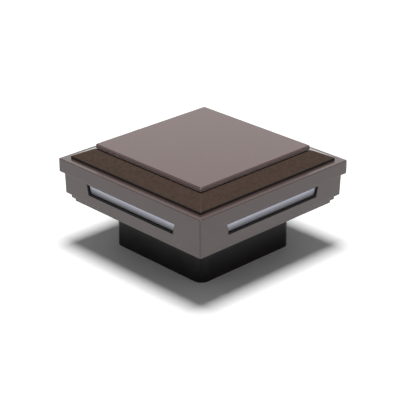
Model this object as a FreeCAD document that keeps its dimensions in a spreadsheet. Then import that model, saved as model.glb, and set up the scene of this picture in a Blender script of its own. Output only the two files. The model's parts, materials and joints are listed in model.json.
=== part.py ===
import FreeCAD, Part
import math
import os
import re

import Sketcher
from FreeCAD import Placement, Rotation, Vector

# Square post cap light, in millimetres. +Z is up, and the faces look along +-X and +-Y.
# The origin is the centre of the post sleeve's open foot. From the foot up: the post sleeve,
# the bottom plate, the housing (ledge, band, rim), the lid gasket, the sloped collar and the
# top plate. The last three, with their inserts and screws, lift off as the lid.

doc = FreeCAD.newDocument("post_cap_light")

# ---------------------------------------------------------------- driving sizes
SIZES = {
    # post sleeve
    "sleeve_width": 98.0,
    "sleeve_height": 37.0,
    "sleeve_wall": 3.0,
    "sleeve_round": 7.0,
    "sleeve_web": 3.0,
    "web_opening": 46.0,
    "rib_proud": 1.4,
    "rib_width": 2.0,
    "rib_spread": 25.0,
    "rib_start": 8.0,
    "lead_in": 1.5,
    "sleeve_screw_spread": 36.0,
    # bottom plate
    "bottom_step": 2.1,
    "bottom_plate_thick": 3.0,
    "seal_inset": 0.9,
    "seal_width": 1.6,
    "seal_depth": 1.2,
    "plate_screw_inset": 3.8,
    "plate_screw_pitch": 60.0,
    "boss_radius": 4.0,
    "boss_height": 6.0,
    "standoff_radius": 3.0,
    "standoff_height": 7.0,
    "inlet_radius": 7.0,
    # housing
    "band_width": 152.4,
    "ledge_step": 3.3,
    "ledge_height": 4.0,
    "ledge_reach": 11.2,
    "band_height": 18.0,
    "band_draft": 0.4,
    "band_wall": 3.0,
    "rim_overhang": 2.8,
    "rim_height": 11.0,
    "rim_round": 0.8,
    "lip_height": 3.0,
    "lip_reach": 4.2,
    "edge_round": 1.2,
    "pillar_inset": 14.2,
    "pillar_wall": 2.6,
    "pillar_gap": 0.4,
    "pillar_web": 3.0,
    # windows
    "window_rise": 6.5,
    "window_height": 8.7,
    "window_end": 27.0,
    "window_lean": 1.8,
    "frame_recess": 0.6,
    "frame_wall": 0.7,
    "frame_flange": 2.2,
    "frame_margin": 3.8,
    "lens_thick": 2.0,
    "lens_raise": 1.1,
    "lens_overlap": 0.5,
    "fit_gap": 0.15,
    # light units behind the windows
    "reflector_depth": 9.0,
    "reflector_margin": 3.8,
    "reflector_height": 14.0,
    "mouth_margin": 0.3,
    "reflector_back": 1.2,
    "trough_wall": 2.0,
    "trough_slant": 2.6,
    "ear_width": 6.5,
    "ear_depth": 5.4,
    "ear_thick": 2.5,
    "light_board_thick": 1.6,
    "light_board_height": 10.0,
    "light_board_setback": 1.0,
    "light_screw_inset": 2.0,
    "led_inset": 14.5,
    "led_width": 3.0,
    "led_height": 2.8,
    "led_thick": 0.8,
    "led_hole_gap": 0.6,
    # lid
    "lid_gasket_thick": 1.9,
    "lid_gasket_width": 2.9,
    "collar_seat": 3.4,
    "collar_rise": 6.1,
    "collar_run": 12.8,
    "collar_wall": 2.5,
    "collar_flange": 5.8,
    "spigot_depth": 2.5,
    "lid_gap": 0.3,
    "lid_boss_wall": 1.6,
    "lid_boss_gap": 0.4,
    "lid_boss_merge": 0.3,
    "insert_wall": 0.85,
    "insert_length": 5.6,
    "pad_inset": 4.6,
    "pad_height": 0.7,
    "top_plate_setback": 1.1,
    "top_plate_thick": 3.4,
    "top_plate_round": 0.9,
    "top_screw_inset": 18.5,
    "top_screw_bite": 2.2,
    # captive lid screws
    "lid_screw_radius": 2.0,
    "lid_screw_head": 3.8,
    "lid_screw_head_height": 2.4,
    "running_gap": 0.05,
    "tip_gap": 0.4,
    "retainer_radius": 3.6,
    "retainer_thick": 0.8,
    # small screws
    "small_screw_radius": 1.25,
    "small_screw_head": 2.5,
    "small_screw_head_height": 1.4,
    "sleeve_screw_radius": 1.5,
    "sleeve_screw_head": 2.9,
    "sleeve_screw_head_height": 1.8,
    "sleeve_screw_bite": 7.0,
    "light_screw_radius": 0.9,
    "light_screw_head": 1.7,
    "light_screw_head_height": 1.2,
    "light_screw_bite": 3.0,
    "screw_gap": 0.2,
    "recess_width": 0.6,
    # driver board and what stands on it
    "driver_length": 80.0,
    "driver_width": 36.0,
    "driver_thick": 1.6,
    "driver_gap": 12.4,
    "driver_screw_inset": 4.0,
    "terminal_length": 15.0,
    "terminal_width": 10.0,
    "terminal_height": 10.0,
    "terminal_inset": 10.0,
    "terminal_pitch": 7.5,
    "terminal_screw_radius": 1.8,
    "supply_place": 8.0,
    "inductor_place": 9.0,
    "chip_place": 23.0,
    "row_spread": 8.0,
    "bridge_length": 9.0,
    "bridge_width": 6.5,
    "bridge_height": 3.2,
    "capacitor_radius": 5.0,
    "capacitor_height": 12.5,
    "inductor_radius": 6.0,
    "inductor_height": 7.0,
    "chip_length": 5.0,
    "chip_width": 4.0,
    "chip_height": 1.6,
    "resistor_length": 3.2,
    "resistor_width": 1.6,
    "resistor_height": 0.6,
    "resistor_pitch": 3.4,
    # cable inlet and wires
    "grommet_lip": 2.5,
    "grommet_lip_thick": 1.8,
    "cable_radius": 3.0,
    "wire_radius": 0.65,
    "wire_low_rise": 13.0,
    "wire_step": 4.0,
    "jumper_inset": 8.0,
    "jumper_cut": 8.4,
    "feed_lead": 5.0,
}

sheet = doc.addObject("Spreadsheet::Sheet", "dims")
for row, (name, number) in enumerate(SIZES.items(), 1):
    sheet.set(f"A{row}", name.replace("_", " "))
    sheet.set(f"B{row}", str(number))
    sheet.setAlias(f"B{row}", name)
doc.recompute()

# ---------------------------------------------------------------- heights that follow
WEB_FOOT = "(sleeve_height - sleeve_web)"
SLEEVE_SCREW_SEAT = f"({WEB_FOOT} + sleeve_screw_head_height)"
PLATE_TOP = "(sleeve_height + bottom_plate_thick)"
LEDGE_TOP = f"({PLATE_TOP} + ledge_height)"
BAND_TOP = f"({LEDGE_TOP} + band_height)"
RIM_TOP = f"({BAND_TOP} + rim_height)"
LIP_FOOT = f"({RIM_TOP} - lip_height)"
COLLAR_FOOT = f"({RIM_TOP} + lid_gasket_thick)"
DECK_TOP = f"({COLLAR_FOOT} + collar_rise)"
DECK_FOOT = f"({DECK_TOP} - collar_wall)"
PAD_TOP = f"({DECK_TOP} + pad_height)"
LID_BOSS_FOOT = f"({LIP_FOOT} + retainer_thick + lid_boss_gap)"
WINDOW_FOOT = f"({LEDGE_TOP} + window_rise)"
WINDOW_TOP = f"({WINDOW_FOOT} + window_height)"
LIGHT_LEVEL = f"(({WINDOW_FOOT} + {WINDOW_TOP}) / 2)"
DRIVER_FOOT = f"({PLATE_TOP} + standoff_height)"
DRIVER_TOP = f"({DRIVER_FOOT} + driver_thick)"

# ---------------------------------------------------------------- distances from the axis
INNER_WALL = "(band_width / 2 - band_wall)"
RIM_WIDTH = "(band_width + 2 * rim_overhang)"
LEDGE_WIDTH = "(band_width - 2 * ledge_step)"
LEDGE_OPENING = f"(2 * ({INNER_WALL} - ledge_reach))"
LIP_OPENING = f"(2 * ({INNER_WALL} - lip_reach))"
BOTTOM_WIDTH = f"({LEDGE_WIDTH} - 2 * bottom_step)"
SEAL_INNER = f"({LEDGE_OPENING} + 2 * seal_inset)"
SEAL_OUTER = f"({SEAL_INNER} + 2 * seal_width)"
PLATE_SCREW_LINE = f"({BOTTOM_WIDTH} / 2 - plate_screw_inset)"
PILLAR = f"({INNER_WALL} - pillar_inset)"
PILLAR_BORE = "(lid_screw_radius + pillar_gap)"
PILLAR_RADIUS = f"({PILLAR_BORE} + pillar_wall)"
INSERT_BORE = "(lid_screw_radius + running_gap)"
INSERT_RADIUS = f"({INSERT_BORE} + insert_wall)"
LID_BOSS_RADIUS = f"({INSERT_RADIUS} + lid_boss_wall)"

WINDOW_HEAD = "(band_width / 2 - window_end)"
WINDOW_SILL = f"({WINDOW_HEAD} - window_lean)"
NECK_FRONT = "(band_width / 2 - band_draft - frame_recess)"
LENS_BACK = f"({INNER_WALL} - frame_flange)"
REFLECTOR_BACK = f"({LENS_BACK} - reflector_depth)"
REFLECTOR_END = f"({WINDOW_HEAD} + reflector_margin)"
EAR_LINE = f"({LENS_BACK} - ear_depth / 2 - fit_gap)"
EAR_HOLE = f"({REFLECTOR_END} + ear_width / 2)"
LIGHT_BOARD_BACK = f"({REFLECTOR_BACK} - light_board_thick)"
LIGHT_BOARD_END = f"({REFLECTOR_END} - light_board_setback)"
LIGHT_SCREW = f"({LIGHT_BOARD_END} - light_screw_inset)"
LED_COUNT = 6
LED_PITCH = f"(2 * ({LIGHT_BOARD_END} - led_inset) / {LED_COUNT - 1})"
LED_PLACES = [f"{number - (LED_COUNT - 1) / 2} * {LED_PITCH}" for number in range(LED_COUNT)]

COLLAR_WIDTH = f"({LIP_OPENING} + 2 * collar_seat)"
SLOPE_TOP_WIDTH = f"({COLLAR_WIDTH} - 2 * collar_run)"
COLLAR_INNER = f"({COLLAR_WIDTH} / 2 - collar_flange)"
DECK_INNER = f"({COLLAR_INNER} - (collar_rise - collar_wall) * collar_run / collar_rise)"
TOP_PLATE_WIDTH = f"({SLOPE_TOP_WIDTH} - 2 * top_plate_setback)"
TOP_SCREW = f"({TOP_PLATE_WIDTH} / 2 - top_screw_inset)"

DRIVER_MIDDLE = f"({LIGHT_BOARD_BACK} - driver_gap - driver_width / 2)"
TERMINAL_X = "(terminal_inset - driver_length / 2)"
DRIVER_SCREW_X = "(driver_length / 2 - driver_screw_inset)"
DRIVER_SCREW_Y = "(driver_width / 2 - driver_screw_inset)"
SIDES = {"right": 0, "back": 90, "left": 180, "front": 270}



def four_ways(x, y, across="0"):
    """Four places mirrored about both axes, or about a line moved across."""
    return [(f"{a} * ({x})", f"{across} + {b} * ({y})") for a in (1, -1) for b in (1, -1)]


CORNERS = four_ways(PILLAR, PILLAR)
SLEEVE_SCREWS = four_ways("sleeve_screw_spread", "sleeve_screw_spread")
TOP_SCREWS = four_ways(TOP_SCREW, TOP_SCREW)
DRIVER_SCREWS = four_ways(DRIVER_SCREW_X, DRIVER_SCREW_Y, DRIVER_MIDDLE)

nodes = []
TINY = 0.01


# ---------------------------------------------------------------- helpers
def formula(text):
    """Turn the sheet's words in text into references to its cells."""
    return re.sub(r"[a-z]+(?:_[a-z]+)+", lambda word: "dims." + word.group(), text)


def value(text):
    """The number that a formula has now."""
    return float(sheet.evalExpression(formula(text)))


def bind(thing, **sizes):
    """Tie properties of thing to formulas."""
    for name, text in sizes.items():
        thing.setExpression(name, formula(text))


def place(thing, x="0", y="0", z="0"):
    """Tie the place of a primitive to formulas."""
    for axis, text in zip("xyz", (x, y, z)):
        thing.setExpression(f"Placement.Base.{axis}", formula(text))


def new_body(label, angle=0):
    """A part body that may hold several solids, turned by angle about the light's axis."""
    body = doc.addObject("PartDesign::Body", label)
    body.Label = label
    body.AllowCompound = True
    body.Placement = Placement(Vector(), Rotation(Vector(0, 0, 1), angle))
    nodes.append(body)
    return body


def origin_item(body, role):
    return next(item for item in body.Origin.OriginFeatures if item.Role == role)


def sketch_on(body, role, offset, x="0", y="0"):
    """A sketch on an origin plane, moved by formulas along the plane's normal and in it."""
    sketch = body.newObject("Sketcher::SketchObject", "sketch")
    sketch.AttachmentSupport = [(origin_item(body, role), "")]
    sketch.MapMode = "FlatFace"
    for axis, text in zip("xyz", (x, y, offset)):
        sketch.setExpression(f"AttachmentOffset.Base.{axis}", formula(text))
    return sketch


def outline(sketch, points):
    """A closed polygon whose corners are pairs of formulas."""
    spots = [Vector(value(x), value(y), 0) for x, y in points]
    first = sketch.GeometryCount
    count = len(points)
    for index, spot in enumerate(spots):
        sketch.addGeometry(Part.LineSegment(spot, spots[(index + 1) % count]), False)
    for index, (x, y) in enumerate(points):
        edge = first + index
        following = first + (index + 1) % count
        sketch.addConstraint(Sketcher.Constraint("Coincident", edge, 2, following, 1))
        for kind, text, at in (("DistanceX", x, spots[index].x), ("DistanceY", y, spots[index].y)):
            made = sketch.addConstraint(Sketcher.Constraint(kind, -1, 1, edge, 1, at))
            sketch.setExpression(f"Constraints[{made}]", formula(text))
    return sketch


def rectangle(sketch, width, height, x="0", y="0"):
    """A rectangle about a centre, its sizes as formulas."""
    left, right = f"({x}) - ({width}) / 2", f"({x}) + ({width}) / 2"
    low, high = f"({y}) - ({height}) / 2", f"({y}) + ({height}) / 2"
    return outline(sketch, [(left, low), (right, low), (right, high), (left, high)])


def circle(sketch, radius, x="0", y="0"):
    """A circle about a centre, its sizes as formulas."""
    centre = Vector(value(x), value(y), 0)
    made = sketch.addGeometry(Part.Circle(centre, Vector(0, 0, 1), value(radius)), False)
    for kind, text, at in (("DistanceX", x, centre.x), ("DistanceY", y, centre.y)):
        tie = sketch.addConstraint(Sketcher.Constraint(kind, -1, 1, made, 3, at))
        sketch.setExpression(f"Constraints[{tie}]", formula(text))
    tie = sketch.addConstraint(Sketcher.Constraint("Radius", made, value(radius)))
    sketch.setExpression(f"Constraints[{tie}]", formula(radius))
    return sketch


def circles(sketch, radius, places):
    """A circle at each place."""
    for x, y in places:
        circle(sketch, radius, x, y)
    return sketch


def square(body, width, level):
    """A square about the axis, at a level."""
    return rectangle(sketch_on(body, "XY_Plane", level), width, width)


def rounded_square(body, width, radius, level):
    """A square with round corners about the axis, at a level."""
    sketch = sketch_on(body, "XY_Plane", level)
    far, near = f"(({width}) / 2)", f"(({width}) / 2 - {radius})"
    corners = [(far, near), (near, far), (f"-{near}", far), (f"-{far}", near)]
    corners += [(f"-{x}".replace("--", ""), f"-{y}") for x, y in corners]
    spots = [Vector(value(x), value(y), 0) for x, y in corners]
    turn = Vector(0, 0, 1)
    for index in range(0, 8, 2):
        start, end = spots[index], spots[index + 1]
        centre = Vector(*[min(a, b, key=abs) for a, b in zip(start[:2], end[:2])], 0)
        angle = math.atan2(start.y - centre.y, start.x - centre.x)
        round_line = Part.Circle(centre, turn, value(radius))
        sketch.addGeometry(Part.ArcOfCircle(round_line, angle, angle + math.pi / 2), False)
        sketch.addGeometry(Part.LineSegment(end, spots[(index + 2) % 8]), False)
    for index in range(0, 8, 2):
        following = (index + 2) % 8
        sketch.addConstraint(Sketcher.Constraint("Coincident", index, 2, index + 1, 1))
        sketch.addConstraint(Sketcher.Constraint("Coincident", index + 1, 2, following, 1))
        for spot, (x, y), end in ((index, corners[index], 1), (index + 1, corners[index + 1], 2)):
            for kind, text, at in (("DistanceX", x, spots[spot].x), ("DistanceY", y, spots[spot].y)):
                tie = sketch.addConstraint(Sketcher.Constraint(kind, -1, 1, index, end, at))
                sketch.setExpression(f"Constraints[{tie}]", formula(text))
        tie = sketch.addConstraint(Sketcher.Constraint("Radius", index, value(radius)))
        sketch.setExpression(f"Constraints[{tie}]", formula(radius))
    return sketch


def trapezoid(body, offset, grow):
    """The window's outline grown by a formula on every side, on a plane across +X."""
    foot, head = f"{WINDOW_SILL} + {grow}", f"{WINDOW_HEAD} + {grow}"
    low, high = f"{WINDOW_FOOT} - ({grow})", f"{WINDOW_TOP} + {grow}"
    points = [(f"-({foot})", low), (foot, low), (head, high), (f"-({head})", high)]
    return outline(sketch_on(body, "YZ_Plane", offset), points)


def feature(body, kind, sketch, reverse=False, **sizes):
    """A Pad, Pocket or Revolution of a sketch; a Pocket has to change the volume."""
    before = body.Shape.Volume if body.Tip else 0
    made = body.newObject("PartDesign::" + kind, kind.lower())
    made.Profile = sketch
    made.Reversed = reverse
    bind(made, **sizes)
    doc.recompute()
    if kind == "Pocket" and body.Shape.Volume > before - TINY:
        raise ValueError(f"{body.Label}: {made.Name} cuts nothing")
    return made


def loft(body, kind, first, second):
    """A straight loft between two sketches."""
    made = body.newObject("PartDesign::" + kind, "loft")
    made.Profile = first
    made.Sections = [second]
    made.Ruled = True
    doc.recompute()
    return made


def round_the_axis(body, features, count=4):
    """Repeat features evenly about the light's axis."""
    pattern = body.newObject("PartDesign::PolarPattern", "pattern")
    pattern.Originals = features
    pattern.Axis = (origin_item(body, "Z_Axis"), [""])
    pattern.Angle = 360
    pattern.Occurrences = count
    body.Tip = pattern
    doc.recompute()
    return pattern


def dress(body, kind, chosen, **sizes):
    """A Fillet or Chamfer of the edges of body that chosen accepts."""
    base = body.Tip
    edges = [f"Edge{i}" for i, edge in enumerate(base.Shape.Edges, 1) if chosen(edge)]
    made = body.newObject("PartDesign::" + kind, kind.lower())
    made.Base = (base, edges)
    bind(made, **sizes)
    doc.recompute()
    return made


def upright_corner(edge, least=0.0, most=1e6):
    """Whether an edge rises along a square's diagonal, between two distances from the axis."""
    ends = [vertex.Point for vertex in edge.Vertexes]
    if len(ends) != 2 or abs(ends[0].z - ends[1].z) < TINY:
        return False
    return all(abs(abs(end.x) - abs(end.y)) < TINY and least < abs(end.x) < most for end in ends)


def level_edge(edge, level, least=0.0, most=1e6):
    """Whether an edge lies in a level, between two distances from the axis."""
    ends = [vertex.Point for vertex in edge.Vertexes]
    if any(abs(end.z - level) > TINY for end in ends):
        return False
    return all(least < max(abs(end.x), abs(end.y)) < most for end in ends)


def joined(kind, label, *pieces):
    """A Part boolean of pieces, or a compound of them."""
    made = doc.addObject("Part::" + kind, label)
    made.Label = label
    if kind == "Compound":
        made.Links = list(pieces)
    elif kind == "Cut":
        made.Base, made.Tool = pieces
    else:
        made.Shapes = list(pieces)
    return made


def box(x, y, z, length, width, height):
    """A box whose foot is centred at x, y and stands at z."""
    made = doc.addObject("Part::Box", "box")
    bind(made, Length=length, Width=width, Height=height)
    place(made, f"({x}) - ({length}) / 2", f"({y}) - ({width}) / 2", z)
    return made


def rod(x, y, z, radius, height, axis="z"):
    """A cylinder that starts at x, y, z and runs along +Z or +X."""
    made = doc.addObject("Part::Cylinder", "rod")
    bind(made, Radius=radius, Height=height)
    if axis == "x":
        made.Placement = Placement(Vector(), Rotation(Vector(0, 1, 0), 90))
    place(made, x, y, z)
    return made


def screws(label, places, seat, head, head_height, shank, length, upward=True):
    """Upright cross-recess screws: seat is where head meets work, and upward is the shank's way."""
    made = []
    for x, y in places:
        head_foot = f"{seat} - ({head_height})" if upward else seat
        shank_foot = seat if upward else f"{seat} - ({length})"
        slot_foot = head_foot if upward else f"{seat} + ({head_height}) / 2"
        body = joined(
            "MultiFuse",
            "blank",
            rod(x, y, head_foot, head, head_height),
            rod(x, y, shank_foot, shank, length),
        )
        wide, thin, deep = f"({head}) * 1.2", "recess_width", f"({head_height}) / 2"
        cross = joined(
            "MultiFuse",
            "cross",
            box(x, y, slot_foot, wide, thin, deep),
            box(x, y, slot_foot, thin, wide, deep),
        )
        made.append(joined("Cut", "screw", body, cross))
    group = joined("Compound", label, *made)
    nodes.append(group)
    return group


def frustum_square(body, wide, level, narrow, upper, kind="AdditiveLoft"):
    return loft(body, kind, square(body, wide, level), square(body, narrow, upper))


# ---------------------------------------------------------------- post sleeve and bottom plate
def make_post_sleeve():
    """Square black sleeve: its web is screwed under the bottom plate, and ribs grip the post."""
    body = new_body("post_sleeve")
    inner = "(sleeve_width - 2 * sleeve_wall)"
    feature(body, "Pad", square(body, "sleeve_width", "0"), Length="sleeve_height")
    dress(body, "Fillet", upright_corner, Radius="sleeve_round")
    feature(body, "Pocket", square(body, inner, "0"), reverse=True, Length=WEB_FOOT)
    half = value(inner) / 2
    inside = lambda edge: upright_corner(edge, half - 1, half + 1)
    dress(body, "Fillet", inside, Radius="(sleeve_round - sleeve_wall)")
    mouth = lambda edge: level_edge(edge, 0, 0, half + TINY)
    dress(body, "Chamfer", mouth, Size="lead_in")
    feature(body, "Pocket", square(body, "web_opening", "sleeve_height"), Length="sleeve_web")
    holes = sketch_on(body, "XY_Plane", "sleeve_height")
    circles(holes, "sleeve_screw_radius + screw_gap", SLEEVE_SCREWS)
    feature(body, "Pocket", holes, Length="sleeve_web")
    sinks = circles(sketch_on(body, "XY_Plane", WEB_FOOT), "sleeve_screw_head + screw_gap", SLEEVE_SCREWS)
    feature(body, "Pocket", sinks, reverse=True, Length="sleeve_screw_head_height")
    ribs = sketch_on(body, "XY_Plane", "rib_start")
    middle = f"({inner} - rib_proud + sleeve_wall) / 2"
    for side in ("", "-"):
        rectangle(ribs, "rib_proud + sleeve_wall / 2", "rib_width", middle, f"{side}rib_spread")
    grip = feature(body, "Pad", ribs, Length=f"{WEB_FOOT} - rib_start")
    round_the_axis(body, [grip])


def make_bottom_plate():
    """Lowest bronze step: a plate with a seal groove, screw bosses and board standoffs."""
    body = new_body("bottom_plate")
    thick = "bottom_plate_thick"
    feature(body, "Pad", square(body, BOTTOM_WIDTH, "sleeve_height"), Length=thick)
    dress(body, "Fillet", upright_corner, Radius="edge_round")
    groove = square(body, SEAL_INNER, PLATE_TOP)
    rectangle(groove, SEAL_OUTER, SEAL_OUTER)
    feature(body, "Pocket", groove, Length="seal_depth")
    bosses = circles(sketch_on(body, "XY_Plane", PLATE_TOP), "boss_radius", SLEEVE_SCREWS)
    feature(body, "Pad", bosses, Length="boss_height")
    posts = circles(sketch_on(body, "XY_Plane", PLATE_TOP), "standoff_radius", DRIVER_SCREWS)
    feature(body, "Pad", posts, Length="standoff_height")
    taps = circles(sketch_on(body, "XY_Plane", DRIVER_FOOT), "small_screw_radius", DRIVER_SCREWS)
    feature(body, "Pocket", taps, Length="standoff_height - screw_gap")
    taps = circles(sketch_on(body, "XY_Plane", "sleeve_height"), "sleeve_screw_radius", SLEEVE_SCREWS)
    depth = f"{SLEEVE_SCREW_SEAT} + sleeve_screw_bite - sleeve_height + screw_gap"
    feature(body, "Pocket", taps, reverse=True, Length=depth)
    through = circles(sketch_on(body, "XY_Plane", PLATE_TOP), "lid_screw_head + 2 * screw_gap", CORNERS)
    circle(through, "inlet_radius")
    feature(body, "Pocket", through, Length=thick)
    hole = sketch_on(body, "XY_Plane", PLATE_TOP)
    sink = sketch_on(body, "XY_Plane", "sleeve_height")
    for side in ("", "-"):
        circle(hole, "small_screw_radius + screw_gap", PLATE_SCREW_LINE, f"{side}plate_screw_pitch / 2")
        circle(sink, "small_screw_head + screw_gap", PLATE_SCREW_LINE, f"{side}plate_screw_pitch / 2")
    bore = feature(body, "Pocket", hole, Length=thick)
    head = feature(body, "Pocket", sink, reverse=True, Length="small_screw_head_height")
    round_the_axis(body, [bore, head])


def make_bottom_seal():
    """Square rubber ring that fills the bottom plate's groove."""
    body = new_body("bottom_seal")
    ring = square(body, SEAL_INNER, f"{PLATE_TOP} - seal_depth")
    rectangle(ring, SEAL_OUTER, SEAL_OUTER)
    feature(body, "Pad", ring, Length="seal_depth")


def make_cable_grommet():
    """Rubber inlet that snaps into the bottom plate, with a bore for the supply cable."""
    body = new_body("cable_grommet")
    lip = "(inlet_radius + grommet_lip)"
    low = "(sleeve_height - grommet_lip_thick)"
    high = f"({PLATE_TOP} + grommet_lip_thick)"
    half = sketch_on(body, "XZ_Plane", "0")
    points = [
        ("cable_radius", low),
        (f"{lip} - grommet_lip_thick / 2", low),
        (lip, "sleeve_height"),
        ("inlet_radius", "sleeve_height"),
        ("inlet_radius", PLATE_TOP),
        (lip, PLATE_TOP),
        (f"{lip} - grommet_lip_thick", high),
        ("cable_radius", high),
    ]
    turned = feature(body, "Revolution", outline(half, points))
    turned.ReferenceAxis = (half, ["V_Axis"])
    turned.Angle = 360


# ---------------------------------------------------------------- housing
def make_housing():
    """Bronze casting: stepped ledge, drafted band with four windows, rim and corner pillars."""
    body = new_body("housing")
    feature(body, "Pad", square(body, LEDGE_WIDTH, PLATE_TOP), Length="ledge_height")
    foot_width = "(band_width - 2 * band_draft)"
    frustum_square(body, foot_width, LEDGE_TOP, "band_width", BAND_TOP)
    feature(body, "Pad", square(body, RIM_WIDTH, BAND_TOP), Length="rim_height")
    dress(body, "Fillet", upright_corner, Radius="edge_round")
    crest = value(RIM_TOP)
    dress(body, "Fillet", lambda edge: level_edge(edge, crest), Radius="rim_round")
    feature(body, "Pocket", square(body, LIP_OPENING, RIM_TOP), Length="lip_height")
    cavity = square(body, f"(2 * {INNER_WALL})", LIP_FOOT)
    feature(body, "Pocket", cavity, Length=f"{LIP_FOOT} - {LEDGE_TOP}")
    feature(body, "Pocket", square(body, LEDGE_OPENING, LEDGE_TOP), Length="ledge_height")

    window = feature(
        body, "Pocket", trapezoid(body, "band_width / 2", "0"), Length="band_wall + screw_gap"
    )
    round_the_axis(body, [window])

    pillar = sketch_on(body, "XY_Plane", PLATE_TOP)
    circle(pillar, PILLAR_RADIUS, PILLAR, PILLAR)
    post = feature(body, "Pad", pillar, Length=f"{LIP_FOOT} - {PLATE_TOP}")
    near, far, half = PILLAR, f"({INNER_WALL} + edge_round)", "pillar_web / 2 * sqrt(2) / 2"
    corners = [
        (f"{near} - {half}", f"{near} + {half}"),
        (f"{near} + {half}", f"{near} - {half}"),
        (f"{far} + {half}", f"{far} - {half}"),
        (f"{far} - {half}", f"{far} + {half}"),
    ]
    web = outline(sketch_on(body, "XY_Plane", f"{LEDGE_TOP} - screw_gap"), corners)
    brace = feature(body, "Pad", web, Length="band_height")
    round_the_axis(body, [post, brace])

    bores = circles(sketch_on(body, "XY_Plane", LIP_FOOT), PILLAR_BORE, CORNERS)
    feature(body, "Pocket", bores, Length=f"{LIP_FOOT} - {PLATE_TOP}")

    taps = sketch_on(body, "XY_Plane", PLATE_TOP)
    for side in ("", "-"):
        circle(taps, "small_screw_radius", PLATE_SCREW_LINE, f"{side}plate_screw_pitch / 2")
    below = feature(body, "Pocket", taps, reverse=True, Length="ledge_height * 0.8")
    taps = sketch_on(body, "XY_Plane", LEDGE_TOP)
    for side in ("", "-"):
        circle(taps, "light_screw_radius", EAR_LINE, f"{side}{EAR_HOLE}")
    above = feature(body, "Pocket", taps, Length="light_screw_bite + screw_gap")
    round_the_axis(body, [below, above])


# ---------------------------------------------------------------- windows and light units
def make_lens_frame(side, angle):
    """Black liner: a flange behind the wall, and a neck that lines the window."""
    body = new_body("lens_frame_" + side, angle)
    flange = sketch_on(body, "YZ_Plane", LENS_BACK)
    width, height = f"2 * ({WINDOW_HEAD} + frame_margin)", "window_height + 2 * frame_margin"
    rectangle(flange, width, height, "0", LIGHT_LEVEL)
    feature(body, "Pad", flange, Length="frame_flange")
    neck = trapezoid(body, INNER_WALL, "(0 - fit_gap)")
    feature(body, "Pad", neck, Length=f"{NECK_FRONT} - {INNER_WALL}")
    rebate = trapezoid(body, LENS_BACK, "(lens_overlap - frame_wall)")
    feature(body, "Pocket", rebate, reverse=True, Length="lens_thick")
    sight = trapezoid(body, LENS_BACK, "(0 - fit_gap - frame_wall)")
    feature(body, "Pocket", sight, reverse=True, Length=f"{NECK_FRONT} - {LENS_BACK}")


def make_lens(side, angle):
    """Frosted strip that sits in the liner's rebate and stands forward into its opening."""
    body = new_body("lens_" + side, angle)
    strip = trapezoid(body, LENS_BACK, "(lens_overlap - frame_wall - fit_gap)")
    feature(body, "Pad", strip, Length="lens_thick")
    face = trapezoid(body, LENS_BACK, "(0 - 2 * fit_gap - frame_wall)")
    feature(body, "Pad", face, Length="lens_thick + lens_raise")


def make_reflector(side, angle):
    """White trough behind the lens, with an ear at each end that stands on the ledge."""
    body = new_body("reflector_" + side, angle)
    block = sketch_on(body, "YZ_Plane", REFLECTOR_BACK)
    rectangle(block, f"2 * {REFLECTOR_END}", "reflector_height", "0", LIGHT_LEVEL)
    feature(body, "Pad", block, Length="reflector_depth")
    mouth_width = f"2 * ({WINDOW_HEAD} + mouth_margin)"
    mouth_height = "(reflector_height - 2 * trough_wall)"
    mouth = sketch_on(body, "YZ_Plane", LENS_BACK)
    rectangle(mouth, mouth_width, mouth_height, "0", LIGHT_LEVEL)
    inner = sketch_on(body, "YZ_Plane", f"{REFLECTOR_BACK} + reflector_back")
    slim = "2 * trough_slant"
    rectangle(inner, f"{mouth_width} - {slim}", f"{mouth_height} - {slim}", "0", LIGHT_LEVEL)
    loft(body, "SubtractiveLoft", mouth, inner)
    holes = sketch_on(body, "YZ_Plane", REFLECTOR_BACK)
    for at in LED_PLACES:
        rectangle(holes, "led_width + led_hole_gap", "led_height + led_hole_gap", at, LIGHT_LEVEL)
    feature(body, "Pocket", holes, reverse=True, Length="reflector_back")
    taps = sketch_on(body, "YZ_Plane", REFLECTOR_BACK)
    for sign in ("", "-"):
        circle(taps, "light_screw_radius", f"{sign}{LIGHT_SCREW}", LIGHT_LEVEL)
    feature(body, "Pocket", taps, reverse=True, Length="light_screw_bite")
    ears = sketch_on(body, "XY_Plane", LEDGE_TOP)
    legs = sketch_on(body, "XY_Plane", LEDGE_TOP)
    holes = sketch_on(body, "XY_Plane", f"{LEDGE_TOP} + ear_thick")
    for sign in ("", "-"):
        rectangle(ears, "ear_depth", "ear_width + 4 * trough_wall", EAR_LINE,
                  f"{sign}({EAR_HOLE} - 2 * trough_wall)")
        rectangle(legs, "ear_depth", "2 * trough_wall", EAR_LINE,
                  f"{sign}({REFLECTOR_END} - trough_wall)")
        circle(holes, "light_screw_radius + screw_gap", EAR_LINE, f"{sign}{EAR_HOLE}")
    feature(body, "Pad", ears, Length="ear_thick")
    leg_top = f"({LIGHT_LEVEL} - reflector_height / 2 + trough_wall / 2)"
    feature(body, "Pad", legs, Length=f"{leg_top} - {LEDGE_TOP}")
    feature(body, "Pocket", holes, Length="ear_thick")


def make_led_board(side, angle):
    """Strip circuit board behind the trough."""
    body = new_body("led_board_" + side, angle)
    strip = sketch_on(body, "YZ_Plane", LIGHT_BOARD_BACK)
    rectangle(strip, f"2 * {LIGHT_BOARD_END}", "light_board_height", "0", LIGHT_LEVEL)
    for sign in ("", "-"):
        circle(strip, "light_screw_radius + screw_gap", f"{sign}{LIGHT_SCREW}", LIGHT_LEVEL)
    feature(body, "Pad", strip, Length="light_board_thick")


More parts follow.
